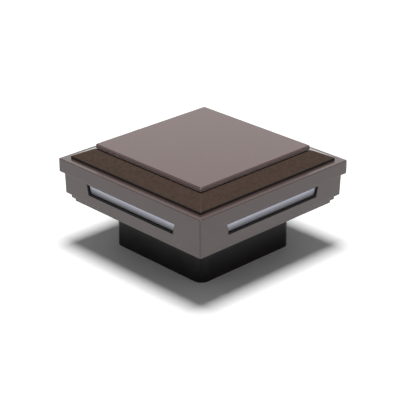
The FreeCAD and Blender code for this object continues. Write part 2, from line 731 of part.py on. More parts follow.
def make_leds(side, angle):
    """Six light chips on the strip board, each in its own hole of the trough."""
    chips = []
    for at in LED_PLACES:
        foot = f"{LIGHT_LEVEL} - led_height / 2"
        middle = f"{REFLECTOR_BACK} + led_thick / 2"
        chips.append(box(middle, at, foot, "led_thick", "led_width", "led_height"))
    group = joined("Compound", "leds_" + side, *chips)
    group.Placement = Placement(Vector(), Rotation(Vector(0, 0, 1), angle))
    nodes.append(group)


def make_led_board_screws():
    """Two pan-head screws through each strip board."""
    sets = []
    for angle in SIDES.values():
        pair = []
        for sign in ("", "-"):
            y = f"{sign}{LIGHT_SCREW}"
            back = f"{LIGHT_BOARD_BACK} - light_screw_head_height"
            head = rod(back, y, LIGHT_LEVEL, "light_screw_head", "light_screw_head_height", "x")
            reach = "light_board_thick + light_screw_bite - screw_gap"
            shank = rod(LIGHT_BOARD_BACK, y, LIGHT_LEVEL, "light_screw_radius", reach, "x")
            wide = "1.2 * light_screw_head"
            deep = "light_screw_head_height / 2"
            middle = f"{back} + {deep} / 2"
            foot = f"{LIGHT_LEVEL} - {wide} / 2"
            upright = box(middle, y, foot, deep, "recess_width", wide)
            level = box(middle, y, f"{LIGHT_LEVEL} - recess_width / 2", deep, wide, "recess_width")
            blank = joined("MultiFuse", "blank", head, shank)
            pair.append(joined("Cut", "screw", blank, joined("MultiFuse", "cross", upright, level)))
        turned = joined("Compound", "pair", *pair)
        turned.Placement = Placement(Vector(), Rotation(Vector(0, 0, 1), angle))
        sets.append(turned)
    nodes.append(joined("Compound", "led_board_screws", *sets))


# ---------------------------------------------------------------- lid
def make_lid_gasket():
    """Black square ring between the rim and the sloped collar."""
    body = new_body("lid_gasket")
    feature(body, "Pad", square(body, COLLAR_WIDTH, RIM_TOP), Length="lid_gasket_thick")
    dress(body, "Fillet", upright_corner, Radius="edge_round")
    hole = square(body, f"({COLLAR_WIDTH} - 2 * lid_gasket_width)", COLLAR_FOOT)
    feature(body, "Pocket", hole, Length="lid_gasket_thick")


def make_sloped_collar():
    """Lid casting: four slopes, a deck with a raised pad, a locating spigot and four bosses."""
    body = new_body("sloped_collar")
    foot = rounded_square(body, COLLAR_WIDTH, "edge_round", COLLAR_FOOT)
    crest = rounded_square(body, SLOPE_TOP_WIDTH, "edge_round", DECK_TOP)
    loft(body, "AdditiveLoft", foot, crest)
    pad_width = f"({SLOPE_TOP_WIDTH} - 2 * pad_inset)"
    feature(body, "Pad", square(body, pad_width, DECK_TOP), Length="pad_height")
    hollow_foot, hollow_top = f"(2 * {COLLAR_INNER})", f"(2 * {DECK_INNER})"
    frustum_square(body, hollow_foot, COLLAR_FOOT, hollow_top, DECK_FOOT, "SubtractiveLoft")
    spigot = square(body, f"({LIP_OPENING} - 2 * lid_gap)", COLLAR_FOOT)
    rectangle(spigot, hollow_foot, hollow_foot)
    feature(body, "Pad", spigot, reverse=True, Length="lid_gasket_thick + spigot_depth")
    boss = sketch_on(body, "XY_Plane", LID_BOSS_FOOT)
    circle(boss, LID_BOSS_RADIUS, PILLAR, PILLAR)
    stud = feature(body, "Pad", boss, Length=f"{DECK_FOOT} + lid_boss_merge - {LID_BOSS_FOOT}")
    round_the_axis(body, [stud])
    seats = circles(sketch_on(body, "XY_Plane", LID_BOSS_FOOT), INSERT_RADIUS, CORNERS)
    feature(body, "Pocket", seats, reverse=True, Length="insert_length + tip_gap")
    holes = circles(sketch_on(body, "XY_Plane", PAD_TOP), "small_screw_radius + screw_gap", TOP_SCREWS)
    feature(body, "Pocket", holes, Length="pad_height + collar_wall")


def make_top_plate():
    """Square plate with a rounded top edge, held from below."""
    body = new_body("top_plate")
    feature(body, "Pad", square(body, TOP_PLATE_WIDTH, PAD_TOP), Length="top_plate_thick")
    dress(body, "Fillet", upright_corner, Radius="edge_round")
    crest = value(f"{PAD_TOP} + top_plate_thick")
    dress(body, "Fillet", lambda edge: level_edge(edge, crest), Radius="top_plate_round")
    taps = circles(sketch_on(body, "XY_Plane", PAD_TOP), "small_screw_radius", TOP_SCREWS)
    feature(body, "Pocket", taps, reverse=True, Length="top_screw_bite")


def make_threaded_inserts():
    """Brass sleeves pressed into the lid's bosses; their bores clear the captive screws."""
    rings = []
    for x, y in CORNERS:
        outer = rod(x, y, LID_BOSS_FOOT, INSERT_RADIUS, "insert_length")
        inner = rod(x, y, LID_BOSS_FOOT, INSERT_BORE, "insert_length")
        rings.append(joined("Cut", "insert", outer, inner))
    nodes.append(joined("Compound", "threaded_inserts", *rings))


# ---------------------------------------------------------------- fasteners
def make_screws():
    tip = f"({LID_BOSS_FOOT} + insert_length - tip_gap)"
    screws("lid_screws", CORNERS, PLATE_TOP, "lid_screw_head", "lid_screw_head_height",
           "lid_screw_radius", f"{tip} - {PLATE_TOP}")
    rings = []
    for x, y in CORNERS:
        outer = rod(x, y, LIP_FOOT, "retainer_radius", "retainer_thick")
        inner = rod(x, y, LIP_FOOT, INSERT_BORE, "retainer_thick")
        rings.append(joined("Cut", "retainer", outer, inner))
    nodes.append(joined("Compound", "lid_screw_retainers", *rings))

    near = four_ways(PLATE_SCREW_LINE, "plate_screw_pitch / 2")
    turned = four_ways("plate_screw_pitch / 2", PLATE_SCREW_LINE)
    seat = "(sleeve_height + small_screw_head_height)"
    screws("bottom_plate_screws", near + turned, seat, "small_screw_head",
           "small_screw_head_height", "small_screw_radius",
           "bottom_plate_thick - small_screw_head_height + ledge_height * 0.7")
    screws("sleeve_screws", SLEEVE_SCREWS, SLEEVE_SCREW_SEAT,
           "sleeve_screw_head", "sleeve_screw_head_height", "sleeve_screw_radius",
           "sleeve_screw_bite")
    screws("top_plate_screws", TOP_SCREWS, DECK_FOOT,
           "small_screw_head", "small_screw_head_height", "small_screw_radius",
           "collar_wall + pad_height + top_screw_bite - screw_gap")
    screws("driver_screws", DRIVER_SCREWS, DRIVER_TOP, "small_screw_head", "small_screw_head_height",
           "small_screw_radius", "driver_thick + standoff_height * 0.7", upward=False)
    ears = four_ways(EAR_LINE, EAR_HOLE) + four_ways(EAR_HOLE, EAR_LINE)
    screws("reflector_screws", ears, f"{LEDGE_TOP} + ear_thick", "light_screw_head",
           "light_screw_head_height", "light_screw_radius", "ear_thick + light_screw_bite",
           upward=False)


# ---------------------------------------------------------------- driver
def make_driver_board():
    """Circuit board on four standoffs of the bottom plate."""
    body = new_body("driver_board")
    board = sketch_on(body, "XY_Plane", DRIVER_FOOT)
    rectangle(board, "driver_length", "driver_width", "0", DRIVER_MIDDLE)
    circles(board, "small_screw_radius + screw_gap", DRIVER_SCREWS)
    feature(body, "Pad", board, Length="driver_thick")


def make_components():
    """What stands on the driver board."""
    def keep(label, *pieces):
        nodes.append(joined("MultiFuse", label, *pieces))

    x, y = "-supply_place", f"{DRIVER_MIDDLE} - row_spread"
    lead = "bridge_height / 4"
    legs = [
        box(f"{x} + {side} * (bridge_length / 2 + {lead})", f"{y} + {row} * bridge_width / 4",
            DRIVER_TOP, f"2 * {lead} + screw_gap", "recess_width", lead)
        for side in (-1, 1)
        for row in (-1, 1)
    ]
    keep("bridge_rectifier", box(x, y, DRIVER_TOP, "bridge_length", "bridge_width", "bridge_height"),
         *legs)

    x, y = "-supply_place", f"{DRIVER_MIDDLE} + row_spread"
    can = rod(x, y, f"{DRIVER_TOP} + screw_gap", "capacitor_radius", "capacitor_height")
    bung = rod(x, y, DRIVER_TOP, "capacitor_radius * 0.8", "screw_gap * 2")
    keep("capacitor", can, bung)

    x, y = "inductor_place", DRIVER_MIDDLE
    flange = "inductor_height / 6"
    spool = rod(x, y, DRIVER_TOP, "inductor_radius * 0.8", "inductor_height")
    foot = rod(x, y, DRIVER_TOP, "inductor_radius", flange)
    head = rod(x, y, f"{DRIVER_TOP} + inductor_height - {flange}", "inductor_radius", flange)
    keep("inductor", spool, foot, head)

    x, y = "chip_place", f"{DRIVER_MIDDLE} + row_spread"
    pins = [
        box(f"{x} + ({place_along} - 1.5) * chip_length / 4", f"{y} + {side} * chip_width / 2",
            DRIVER_TOP, "chip_length / 12", "chip_width / 2", "chip_height / 4")
        for place_along in range(4)
        for side in (-1, 1)
    ]
    keep("driver_chip", box(x, y, DRIVER_TOP, "chip_length", "chip_width", "chip_height"), *pins)

    chips = [
        box("chip_place", f"{DRIVER_MIDDLE} - row_spread + ({number}) * resistor_pitch",
            DRIVER_TOP, "resistor_length", "resistor_width", "resistor_height")
        for number in (-1, 0, 1, 2)
    ]
    nodes.append(joined("Compound", "resistors", *chips))


def make_terminal_block():
    """Two-way screw terminal, with a wire mouth on each side and a screw well above each pole."""
    x, y = TERMINAL_X, DRIVER_MIDDLE
    block = box(x, y, DRIVER_TOP, "terminal_width", "terminal_length", "terminal_height")
    mouth = f"({DRIVER_TOP} + terminal_height / 3)"
    well = f"({DRIVER_TOP} + terminal_height * 0.6)"
    tools = []
    heads = []
    for side in (-1, 1):
        across = f"{y} + {side} * terminal_pitch / 2"
        tools.append(rod(f"{x} - terminal_width / 2", across, mouth, "wire_radius + screw_gap",
                         "terminal_width", "x"))
        tools.append(rod(x, across, well, "terminal_screw_radius + screw_gap",
                         "terminal_height * 0.4"))
        head = rod(x, across, well, "terminal_screw_radius", "terminal_height * 0.3")
        slot = box(x, across, f"{well} + terminal_height * 0.2", "3 * terminal_screw_radius",
                   "recess_width", "terminal_height * 0.1")
        heads.append(joined("Cut", "terminal_screw", head, slot))
    nodes.append(joined("Cut", "terminal_block", block, joined("MultiFuse", "wells", *tools)))
    nodes.append(joined("Compound", "terminal_screws", *heads))


# ---------------------------------------------------------------- wires
def tube(points, radius):
    """A wire of straight runs joined by tangent arcs, each as large as its two runs allow."""
    edges = []
    start = points[0]
    for before, at, after in zip(points, points[1:], points[2:]):
        there = (at - before).normalize()
        onward = (after - at).normalize()
        half_turn = there.getAngle(onward) / 2
        cut = 0.45 * min((at - before).Length, (after - at).Length)
        first = at - there * cut
        last = at + onward * cut
        inward = (onward - there).normalize()
        bend = cut / math.tan(half_turn)
        middle = at + inward * (bend / math.cos(half_turn) - bend)
        edges.append(Part.LineSegment(start, first).toShape())
        edges.append(Part.Arc(first, middle, last).toShape())
        start = last
    edges.append(Part.LineSegment(start, points[-1]).toShape())
    path = Part.Wire(edges)
    way = (points[1] - points[0]).normalize()
    section = Part.Wire([Part.Circle(points[0], way, radius).toShape()])
    return path.makePipeShell([section], True, False)


def make_wires(label, colour_side):
    """One pole: a feed from the terminal to the left board, and three corner jumpers."""
    radius = value("wire_radius")
    level = value(f"{PLATE_TOP} + wire_low_rise") + colour_side * value("wire_step")
    board = value(LIGHT_BOARD_BACK)
    run = value(f"{LIGHT_BOARD_END} - jumper_inset")
    cut = value("jumper_cut")
    lead = value("feed_lead")
    jumper = [
        Vector(board, run, level),
        Vector(board - cut, run, level),
        Vector(run, board - cut, level),
        Vector(run, board, level),
    ]
    across = value(DRIVER_MIDDLE) + (colour_side - 0.5) * value("terminal_pitch")
    mouth = value(f"{DRIVER_TOP} + terminal_height / 3")
    block_face = value(f"{TERMINAL_X} - terminal_width / 2")
    feed = [
        Vector(block_face + lead / 2, across, mouth),
        Vector(block_face - lead, across, mouth),
        Vector(-board + cut, across, level),
        Vector(-board, across, level),
    ]
    solids = [tube(feed, radius)]
    for angle in (0, 90, 270):
        jump = tube(jumper, radius)
        jump.rotate(Vector(), Vector(0, 0, 1), angle)
        solids.append(jump)
    wires = doc.addObject("Part::Feature", label)
    wires.Label = label
    wires.Shape = Part.makeCompound(solids)
    wires.Placement = Placement()
    nodes.append(wires)


# ---------------------------------------------------------------- the whole light
make_post_sleeve()
make_bottom_plate()
make_bottom_seal()
make_cable_grommet()
make_housing()
for name, turn in SIDES.items():
    make_lens_frame(name, turn)
    make_lens(name, turn)
    make_reflector(name, turn)
    make_led_board(name, turn)
    make_leds(name, turn)
make_led_board_screws()
make_lid_gasket()
make_sloped_collar()
make_top_plate()
make_threaded_inserts()
make_screws()
make_driver_board()
make_components()
make_terminal_block()
make_wires("wires_red", 1)
make_wires("wires_black", 0)
doc.recompute()

for thing in doc.Objects:
    if "Invalid" in thing.State or "Error" in thing.State:
        raise ValueError(f"{thing.Label} failed to build")
for node in nodes:
    if node.Shape.isNull() or not node.Shape.isValid():
        raise ValueError(f"{node.Label} has no valid shape")

os.makedirs("parts", exist_ok=True)
for node in nodes:
    node.Shape.exportStep(f"parts/{node.Label}.step")
    print(f"{node.Label}: {len(node.Shape.Solids)} solids, {node.Shape.Volume:.0f} mm3")
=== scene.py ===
# %% [markdown]
# # A post cap light
# This light sits on top of a square timber post. A black sleeve slides over the post, and on the
# sleeve stands a bronze casting with a slim window in each of its four sides. Over the casting
# lies a lid: a sloped collar with a flat square plate on it. Behind each window are a liner, a
# frosted strip, a white trough and a strip of light chips, and a small driver board feeds them.
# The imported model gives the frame: where each part lies comes from its boxes, and the sizes
# that no box shows are named below.

# %% Load the frame
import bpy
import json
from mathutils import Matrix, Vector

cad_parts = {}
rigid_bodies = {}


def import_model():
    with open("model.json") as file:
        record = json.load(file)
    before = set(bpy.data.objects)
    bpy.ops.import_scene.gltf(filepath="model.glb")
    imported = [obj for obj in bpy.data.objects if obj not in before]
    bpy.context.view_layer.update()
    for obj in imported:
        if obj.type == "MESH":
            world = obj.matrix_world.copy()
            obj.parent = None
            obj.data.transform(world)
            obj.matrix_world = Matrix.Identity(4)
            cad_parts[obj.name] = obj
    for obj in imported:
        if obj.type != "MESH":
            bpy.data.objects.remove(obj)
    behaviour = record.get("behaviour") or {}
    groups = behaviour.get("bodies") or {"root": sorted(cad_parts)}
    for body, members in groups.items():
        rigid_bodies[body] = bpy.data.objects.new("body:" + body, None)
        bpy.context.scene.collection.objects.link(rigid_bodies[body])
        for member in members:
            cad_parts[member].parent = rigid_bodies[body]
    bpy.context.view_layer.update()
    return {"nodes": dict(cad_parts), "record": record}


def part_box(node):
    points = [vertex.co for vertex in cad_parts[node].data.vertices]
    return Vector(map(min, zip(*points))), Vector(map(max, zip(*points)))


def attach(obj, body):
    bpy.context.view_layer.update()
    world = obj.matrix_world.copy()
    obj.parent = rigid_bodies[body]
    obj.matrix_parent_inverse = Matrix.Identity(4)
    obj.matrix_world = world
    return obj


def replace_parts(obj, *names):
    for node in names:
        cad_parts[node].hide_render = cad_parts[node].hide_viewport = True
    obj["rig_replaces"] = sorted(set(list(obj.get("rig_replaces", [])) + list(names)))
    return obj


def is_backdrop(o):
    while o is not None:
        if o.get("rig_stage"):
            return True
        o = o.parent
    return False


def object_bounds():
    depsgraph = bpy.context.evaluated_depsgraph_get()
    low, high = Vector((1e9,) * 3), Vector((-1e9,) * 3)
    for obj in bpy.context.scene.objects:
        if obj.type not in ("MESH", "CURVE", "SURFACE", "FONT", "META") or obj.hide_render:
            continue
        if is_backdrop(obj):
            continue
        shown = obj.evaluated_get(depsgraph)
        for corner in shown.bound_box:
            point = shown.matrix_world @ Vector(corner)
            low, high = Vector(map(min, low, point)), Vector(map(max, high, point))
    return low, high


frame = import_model()

# %% Units and shared tools
import json
import math

import bpy
import bmesh
from mathutils import Vector

MM = 0.001
SIDES = ("back", "left", "front", "right")
OUTWARD = {"back": (0, 1), "left": (-1, 0), "front": (0, -1), "right": (1, 0)}
scene = bpy.context.scene


def box_mm(node):
    """Lowest and highest corner of a node of the frame, in millimetres."""
    low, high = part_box(node)
    return low / MM, high / MM


# %% [markdown]
# ## The view
# A product picture is taken with a long lens from a step above the object, so that its upright
# lines stay nearly parallel. The camera stands off the corner between the front and the right
# window, a little over a metre away, and looks down on the light.

# %% Camera
VIEW_TURN = math.radians(46.02)
VIEW_RISE = math.radians(24.53)
VIEW_DISTANCE = 1.109
VIEW_SIDE = -2.09 * MM
VIEW_HEIGHT = 38.13 * MM

sideways = Vector((math.cos(VIEW_TURN), math.sin(VIEW_TURN), 0))
target = sideways * VIEW_SIDE + Vector((0, 0, VIEW_HEIGHT))
back = Vector((
    math.sin(VIEW_TURN) * math.cos(VIEW_RISE),
    -math.cos(VIEW_TURN) * math.cos(VIEW_RISE),
    math.sin(VIEW_RISE),
))
camera = bpy.data.objects.new("camera", bpy.data.cameras.new("camera"))
camera.data.sensor_width = 36.0
camera.data.lens = 127.5
camera.data.clip_start = 0.01
camera.data.clip_end = 50.0
camera.location = target + back * VIEW_DISTANCE
camera.rotation_mode = "QUATERNION"
camera.rotation_quaternion = back.to_track_quat("Z", "Y")
scene.collection.objects.link(camera)
scene.camera = camera
scene.view_settings.view_transform = "Standard"
print("camera at", [round(x, 3) for x in camera.location])

# %% [markdown]
# ## Node trees
# Materials, the sky and the repeated parts are all node trees. Two small helpers keep the code
# short: one adds a node, with its inputs given as numbers or as other nodes' outputs, and one
# does a sum.

# %% Helpers for node trees


def add(tree, kind, inputs=None, **settings):
    """Add a node; inputs are given by name or number, as values or as other nodes' outputs."""
    node = tree.nodes.new(kind)
    for name, setting in settings.items():
        setattr(node, name, setting)
    for name, given in (inputs or {}).items():
        if isinstance(given, bpy.types.NodeSocket):
            tree.links.new(given, node.inputs[name])
        else:
            node.inputs[name].default_value = given
    return node


def calc(tree, operation, first, second=0.0):
    """The output of a sum of two numbers."""
    kind = "ShaderNodeMath"
    return add(tree, kind, {0: first, 1: second}, operation=operation).outputs[0]


def times(tree, first, second):
    return calc(tree, "MULTIPLY", first, second)


def ramp(tree, factor, *stops):
    """The colour output of a ramp with (place, colour) stops."""
    node = add(tree, "ShaderNodeValToRGB", {"Fac": factor})
    while len(node.color_ramp.elements) < len(stops):
        node.color_ramp.elements.new(0.5)
    for element, (place, colour) in zip(node.color_ramp.elements, stops):
        element.position = place
        element.color = (*colour, 1.0)
    return node.outputs["Color"]


def grey(level):
    return (level, level, level)


# %% [markdown]
# ## The studio
# A white sweep and one large soft box straight overhead: the lid throws a soft square shadow
# right under itself. What the satin paint reflects matters as much as what lights it. A bright
# band stands low round the set, so the flat plate shines pale, and the studio is dark higher up,
# so the slopes, which look up there, stay dark. This is a cheat that no real studio has: the sky
# has one strength in gloss, another for matt surfaces, and a third where the camera sees it.

# %% Sky, soft box and floor
SKY_FOR_MATT = 0.24
SKY_SEEN = 1.2
BAND_LIGHT = 1.5
SOFT_BOX_HEIGHT = 3.0
SOFT_BOX_WIDTH = 0.95
SOFT_BOX_POWER = 106.0
FLOOR_RADIUS = 2.0

world = bpy.data.worlds.new("studio")
scene.world = world
world.use_nodes = True
sky = world.node_tree
sky.nodes.clear()
direction = add(sky, "ShaderNodeTexCoord").outputs["Generated"]
rise = add(sky, "ShaderNodeSeparateXYZ", {0: direction}).outputs["Z"]
band = ramp(
    sky,
    times(sky, calc(sky, "ADD", rise, 1.0), 0.5),
    (0.0, grey(0.75)),
    (0.5, grey(1.0)),
    (0.66, grey(1.0)),
    (0.74, grey(0.62)),
    (0.82, grey(0.06)),
    (1.0, grey(0.03)),
)
path = add(sky, "ShaderNodeLightPath")


def backdrop(colour, strength):
    return add(sky, "ShaderNodeBackground", {"Color": colour, "Strength": strength}).outputs[0]


gloss = backdrop(band, BAND_LIGHT)
plain = backdrop((0.97, 0.98, 1.0, 1.0), SKY_FOR_MATT)
seen = backdrop((1.0, 1.0, 1.0, 1.0), SKY_SEEN)
lit = add(sky, "ShaderNodeMixShader", {0: path.outputs["Is Glossy Ray"], 1: plain, 2: gloss}).outputs[0]
shown = add(sky, "ShaderNodeMixShader", {0: path.outputs["Is Camera Ray"], 1: lit, 2: seen}).outputs[0]
add(sky, "ShaderNodeOutputWorld", {0: shown})

soft_box = bpy.data.objects.new("soft_box", bpy.data.lights.new("soft_box", "AREA"))
soft_box.data.shape = "SQUARE"
soft_box.data.size = SOFT_BOX_WIDTH
soft_box.data.energy = SOFT_BOX_POWER
soft_box.location = (0, 0, SOFT_BOX_HEIGHT)
scene.collection.objects.link(soft_box)

floor_mesh = bpy.data.meshes.new("floor")
sheet = bmesh.new()
bmesh.ops.create_circle(sheet, cap_ends=True, segments=96, radius=FLOOR_RADIUS)
sheet.to_mesh(floor_mesh)
sheet.free()
floor = bpy.data.objects.new("floor", floor_mesh)
scene.collection.objects.link(floor)
paper = bpy.data.materials.new("white_paper")
paper.use_nodes = True
tree = paper.node_tree
tree.nodes.clear()
place = add(tree, "ShaderNodeTexCoord").outputs["Object"]
fibre = add(tree, "ShaderNodeTexNoise", {"Vector": place, "Scale": 900.0, "Detail": 3.0}).outputs["Fac"]
tone = ramp(tree, fibre, (0.3, grey(0.88)), (0.7, grey(0.92)))
dent = add(tree, "ShaderNodeBump", {"Height": fibre, "Strength": 0.1, "Distance": 0.0001}).outputs[0]
shade = add(tree, "ShaderNodeBsdfDiffuse", {"Color": tone, "Normal": dent})
add(tree, "ShaderNodeOutputMaterial", {0: shade.outputs[0]})
floor_mesh.materials.append(paper)
floor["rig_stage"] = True
print("floor", FLOOR_RADIUS * 2, "m across")

# %% [markdown]
# ## Finishes
# Every finish is built from the same few things that a real surface has: a colour that drifts
# a little, a roughness that is never quite even, and small dents. Powder coat has orange peel
# and a soft cloud in its pigment, moulded plastic has a fine spark texture, rubber is duller,
# and metal keeps the marks of the tool that turned it. One function makes such a finish, and
# each finish below only says how large and how strong these are.

# %% A surface finish
FINISH = {}


def surface(
    name, light, dark, rough, sizes, dents, metallic=0.0, ior=1.5, coat=0.0, stretch=(1, 1, 1), **extra
):
    """A finish: colours it drifts between, (least, most) roughness, and (cloud, dent) sizes in mm."""
    material = bpy.data.materials.new(name)
    material.use_nodes = True
    tree = material.node_tree
    tree.nodes.clear()
    cloud_size, dent_size = sizes
    place = add(tree, "ShaderNodeTexCoord").outputs["Object"]
    place = add(tree, "ShaderNodeMapping", {"Vector": place, "Scale": stretch}).outputs[0]
    cloud = add(tree, "ShaderNodeTexNoise", {
        "Vector": place, "Scale": 1 / (cloud_size * MM), "Detail": 5.0, "Roughness": 0.62,
    }).outputs["Fac"]
    peel = add(tree, "ShaderNodeTexNoise", {
        "Vector": place, "Scale": 1 / (dent_size * MM), "Detail": 2.0, "Roughness": 0.5,
    }).outputs["Fac"]
    cells = add(tree, "ShaderNodeTexVoronoi", {"Vector": place, "Scale": 4 / (dent_size * MM)})
    speck = add(tree, "ShaderNodeSeparateColor", {0: cells.outputs["Color"]}).outputs[0]
    drift = calc(tree, "ADD", times(tree, cloud, 0.88), times(tree, speck, 0.12))
    colour = ramp(tree, drift, (0.28, dark), (0.72, light))
    least, most = rough
    uneven = add(tree, "ShaderNodeMapRange", {
        "Value": cloud, "From Min": 0.3, "From Max": 0.7, "To Min": least, "To Max": most,
    }).outputs[0]
    height = calc(tree, "ADD", peel, times(tree, speck, 0.15))
    dent = add(tree, "ShaderNodeBump", {
        "Height": height, "Strength": dents, "Distance": dent_size * MM * 0.12,
    }).outputs[0]
    shader = add(tree, "ShaderNodeBsdfPrincipled", {
        "Base Color": colour, "Roughness": uneven, "Normal": dent,
        "Metallic": metallic, "IOR": ior, "Coat Weight": coat, "Coat Roughness": 0.12, **extra,
    })
    add(tree, "ShaderNodeOutputMaterial", {0: shader.outputs[0]})
    FINISH[name] = material
    return material


# %% [markdown]
# ### Paints
# The casting, the plate and the sloped collar are all bronze powder coat over cast aluminium,
# but the plate is a smoother taupe and the collar a darker metallic brown.

# %% The three paints
surface(
    "bronze_paint", (0.060, 0.037, 0.033), (0.052, 0.031, 0.028),
    (0.19, 0.23), (24, 0.9), 0.04, ior=1.62,
)
surface(
    "plate_paint", (0.076, 0.036, 0.032), (0.068, 0.031, 0.027),
    (0.25, 0.28), (30, 0.7), 0.02, ior=1.60,
)
surface(
    "collar_paint", (0.063, 0.041, 0.031), (0.043, 0.027, 0.019),
    (0.15, 0.21), (3, 0.8), 0.07, ior=1.66,
)
print(len(FINISH), "paints")

# %% [markdown]
# ### Plastics, rubber and boards
# The sleeve is a satin moulding, the liners are glossier, and the troughs are bright white so
# that they throw the light forwards. A board is a laminate under a coloured solder mask.

# %% Moulded parts
surface(
    "black_plastic", (0.0055, 0.0040, 0.0046), (0.0030, 0.0022, 0.0026),
    (0.32, 0.42), (16, 0.5), 0.12, ior=1.33,
)
surface(
    "black_gloss", (0.006, 0.005, 0.006), (0.003, 0.003, 0.003),
    (0.30, 0.40), (9, 0.5), 0.06, ior=1.36,
)
surface(
    "black_rubber", (0.007, 0.006, 0.006), (0.004, 0.003, 0.003),
    (0.62, 0.80), (6, 0.35), 0.35, ior=1.36,
)
surface("white_plastic", (0.86, 0.86, 0.84), (0.78, 0.78, 0.76), (0.20, 0.32), (12, 0.6), 0.06)
surface("chip_black", (0.028, 0.028, 0.030), (0.014, 0.014, 0.016), (0.48, 0.62), (3, 0.2), 0.30)
surface("can_sleeve", (0.030, 0.050, 0.120), (0.020, 0.034, 0.085), (0.18, 0.30), (5, 0.4), 0.10)
surface("terminal_green", (0.035, 0.30, 0.12), (0.022, 0.22, 0.085), (0.26, 0.38), (5, 0.4), 0.12)
surface("wire_red", (0.52, 0.025, 0.020), (0.40, 0.015, 0.012), (0.32, 0.44), (6, 0.5), 0.10)
surface("wire_black", (0.020, 0.020, 0.021), (0.011, 0.011, 0.012), (0.32, 0.44), (6, 0.5), 0.10)
surface("led_yellow", (0.90, 0.66, 0.16), (0.80, 0.54, 0.10), (0.30, 0.45), (1.2, 0.12), 0.20)
surface("ferrite", (0.060, 0.058, 0.056), (0.035, 0.034, 0.034), (0.50, 0.66), (2, 0.25), 0.35)
print(len(FINISH), "finishes so far")

# %% Metals
surface(
    "steel", (0.64, 0.63, 0.61), (0.50, 0.49, 0.48), (0.20, 0.36), (2, 0.25), 0.12,
    metallic=1.0, stretch=(1, 1, 0.15),
)
surface(
    "brass", (0.80, 0.60, 0.27), (0.62, 0.44, 0.17), (0.20, 0.34), (2, 0.25), 0.12,
    metallic=1.0, stretch=(1, 1, 0.2),
)

# %% [markdown]
# ### Boards
# Under a solder mask the copper tracks stand a few hundredths of a millimetre proud, so the mask
# looks lighter over them. A brick pattern turned by 45 degrees gives such tracks, and a
# noise breaks them up. Both boards use it, in white and in green.

# %% Solder mask


def solder_mask(name, mask, over_copper, track):
    """A board's mask over copper tracks about track mm wide."""
    material = surface(name, over_copper, mask, (0.26, 0.36), (track, 0.3), 0.05)
    tree = material.node_tree
    shader = next(node for node in tree.nodes if node.type == "BSDF_PRINCIPLED")
    place = add(tree, "ShaderNodeTexCoord").outputs["Object"]
    tracks = add(tree, "ShaderNodeTexBrick", {
        "Vector": place, "Scale": 1 / (track * MM), "Mortar Size": 0.06, "Mortar Smooth": 0.2,
        "Brick Width": 3.5, "Row Height": 0.8,
        "Color1": (*over_copper, 1), "Color2": (*over_copper, 1), "Mortar": (*mask, 1),
    })
    tree.links.new(tracks.outputs["Color"], shader.inputs["Base Color"])
    return material


solder_mask("white_board", (0.74, 0.75, 0.72), (0.82, 0.83, 0.80), 2.6)
solder_mask("green_board", (0.018, 0.105, 0.045), (0.035, 0.170, 0.075), 1.9)

# %% [markdown]
# ### The frosted strip
# The strip is a milky plastic with fine upright ribs. The ribs are real shape, made below. Its
# colour carries painted shade that follows the height: nearly black at the foot, and full near
# the head. The real plastic may be one colour all over, with the shade coming from behind it.

# %% Frosted plastic
lens_low, lens_high = box_mm("lens_front")
milky = surface("frosted_lens", (0.72, 0.73, 0.85), (0.66, 0.67, 0.79), (0.30, 0.38), (10, 0.5), 0.06)
tree = milky.node_tree
shader = next(node for node in tree.nodes if node.type == "BSDF_PRINCIPLED")
place = add(tree, "ShaderNodeTexCoord").outputs["Object"]
height = add(tree, "ShaderNodeSeparateXYZ", {0: place}).outputs["Z"]
share = add(tree, "ShaderNodeMapRange", {
    "Value": height, "From Min": lens_low.z * MM, "From Max": lens_high.z * MM,
}).outputs[0]
# Painted shade: the strip's colour is multiplied darker towards its foot, by height.
depth = ramp(tree, share, (0.12, grey(0.05)), (0.52, grey(0.42)), (0.95, grey(1.0)))
painted_shade_mix = add(tree, "ShaderNodeMix", data_type="RGBA", blend_type="MULTIPLY")
painted_shade_mix.inputs[0].default_value = 1.0
tree.links.new(shader.inputs["Base Color"].links[0].from_socket, painted_shade_mix.inputs[6])
tree.links.new(depth, painted_shade_mix.inputs[7])
tree.links.new(painted_shade_mix.outputs[2], shader.inputs["Base Color"])
print("finishes:", sorted(FINISH))

# %% [markdown]
# ## Shapes from rings
# The castings are all square rings that change size as they rise, so each is lofted: a short
# list of stations, each a square with round corners, a half width and a height. Quads join each
# ring to the next. A list that closes on itself gives a tube wall, and one that doesn't is
# capped at both ends.

# %% Rings, lofts and finished pieces
CORNER_STEPS = 6
RING_COUNT = 4 * (CORNER_STEPS + 1)
EDGE_STEPS = 4
ROD_SIDES = 40
SHARP_EDGE = 28.0
LEAST_CORNER = 0.3


def ring(half, level, radius):
    """A square with round corners about the axis, anticlockwise seen from above, in mm."""
    points = []
    for quarter in range(4):
        sign_x = 1 if quarter in (0, 3) else -1
        sign_y = 1 if quarter in (0, 1) else -1
        for step in range(CORNER_STEPS + 1):
            angle = (quarter + step / CORNER_STEPS) * math.pi / 2
            x = sign_x * (half - radius) + radius * math.cos(angle)
            y = sign_y * (half - radius) + radius * math.sin(angle)
            points.append((x, y, level))
    return points


def new_piece(name, points, faces):
    """A mesh object at the origin, from points in mm."""
    mesh = bpy.data.meshes.new(name)
    mesh.from_pydata([Vector(point) * MM for point in points], [], faces)
    mesh.validate()
    piece = bpy.data.objects.new(name, mesh)
    scene.collection.objects.link(piece)
    return piece


def loft_faces(stations, count, closed):
    """Quads between rings of count points, by (station, place); closed joins the last to the first."""
    faces = {}
    for station in range(stations if closed else stations - 1):
        low, high = station * count, (station + 1) % stations * count
        for place in range(count):
            following = (place + 1) % count
            faces[station, place] = (low + place, low + following, high + following, high + place)
    return faces


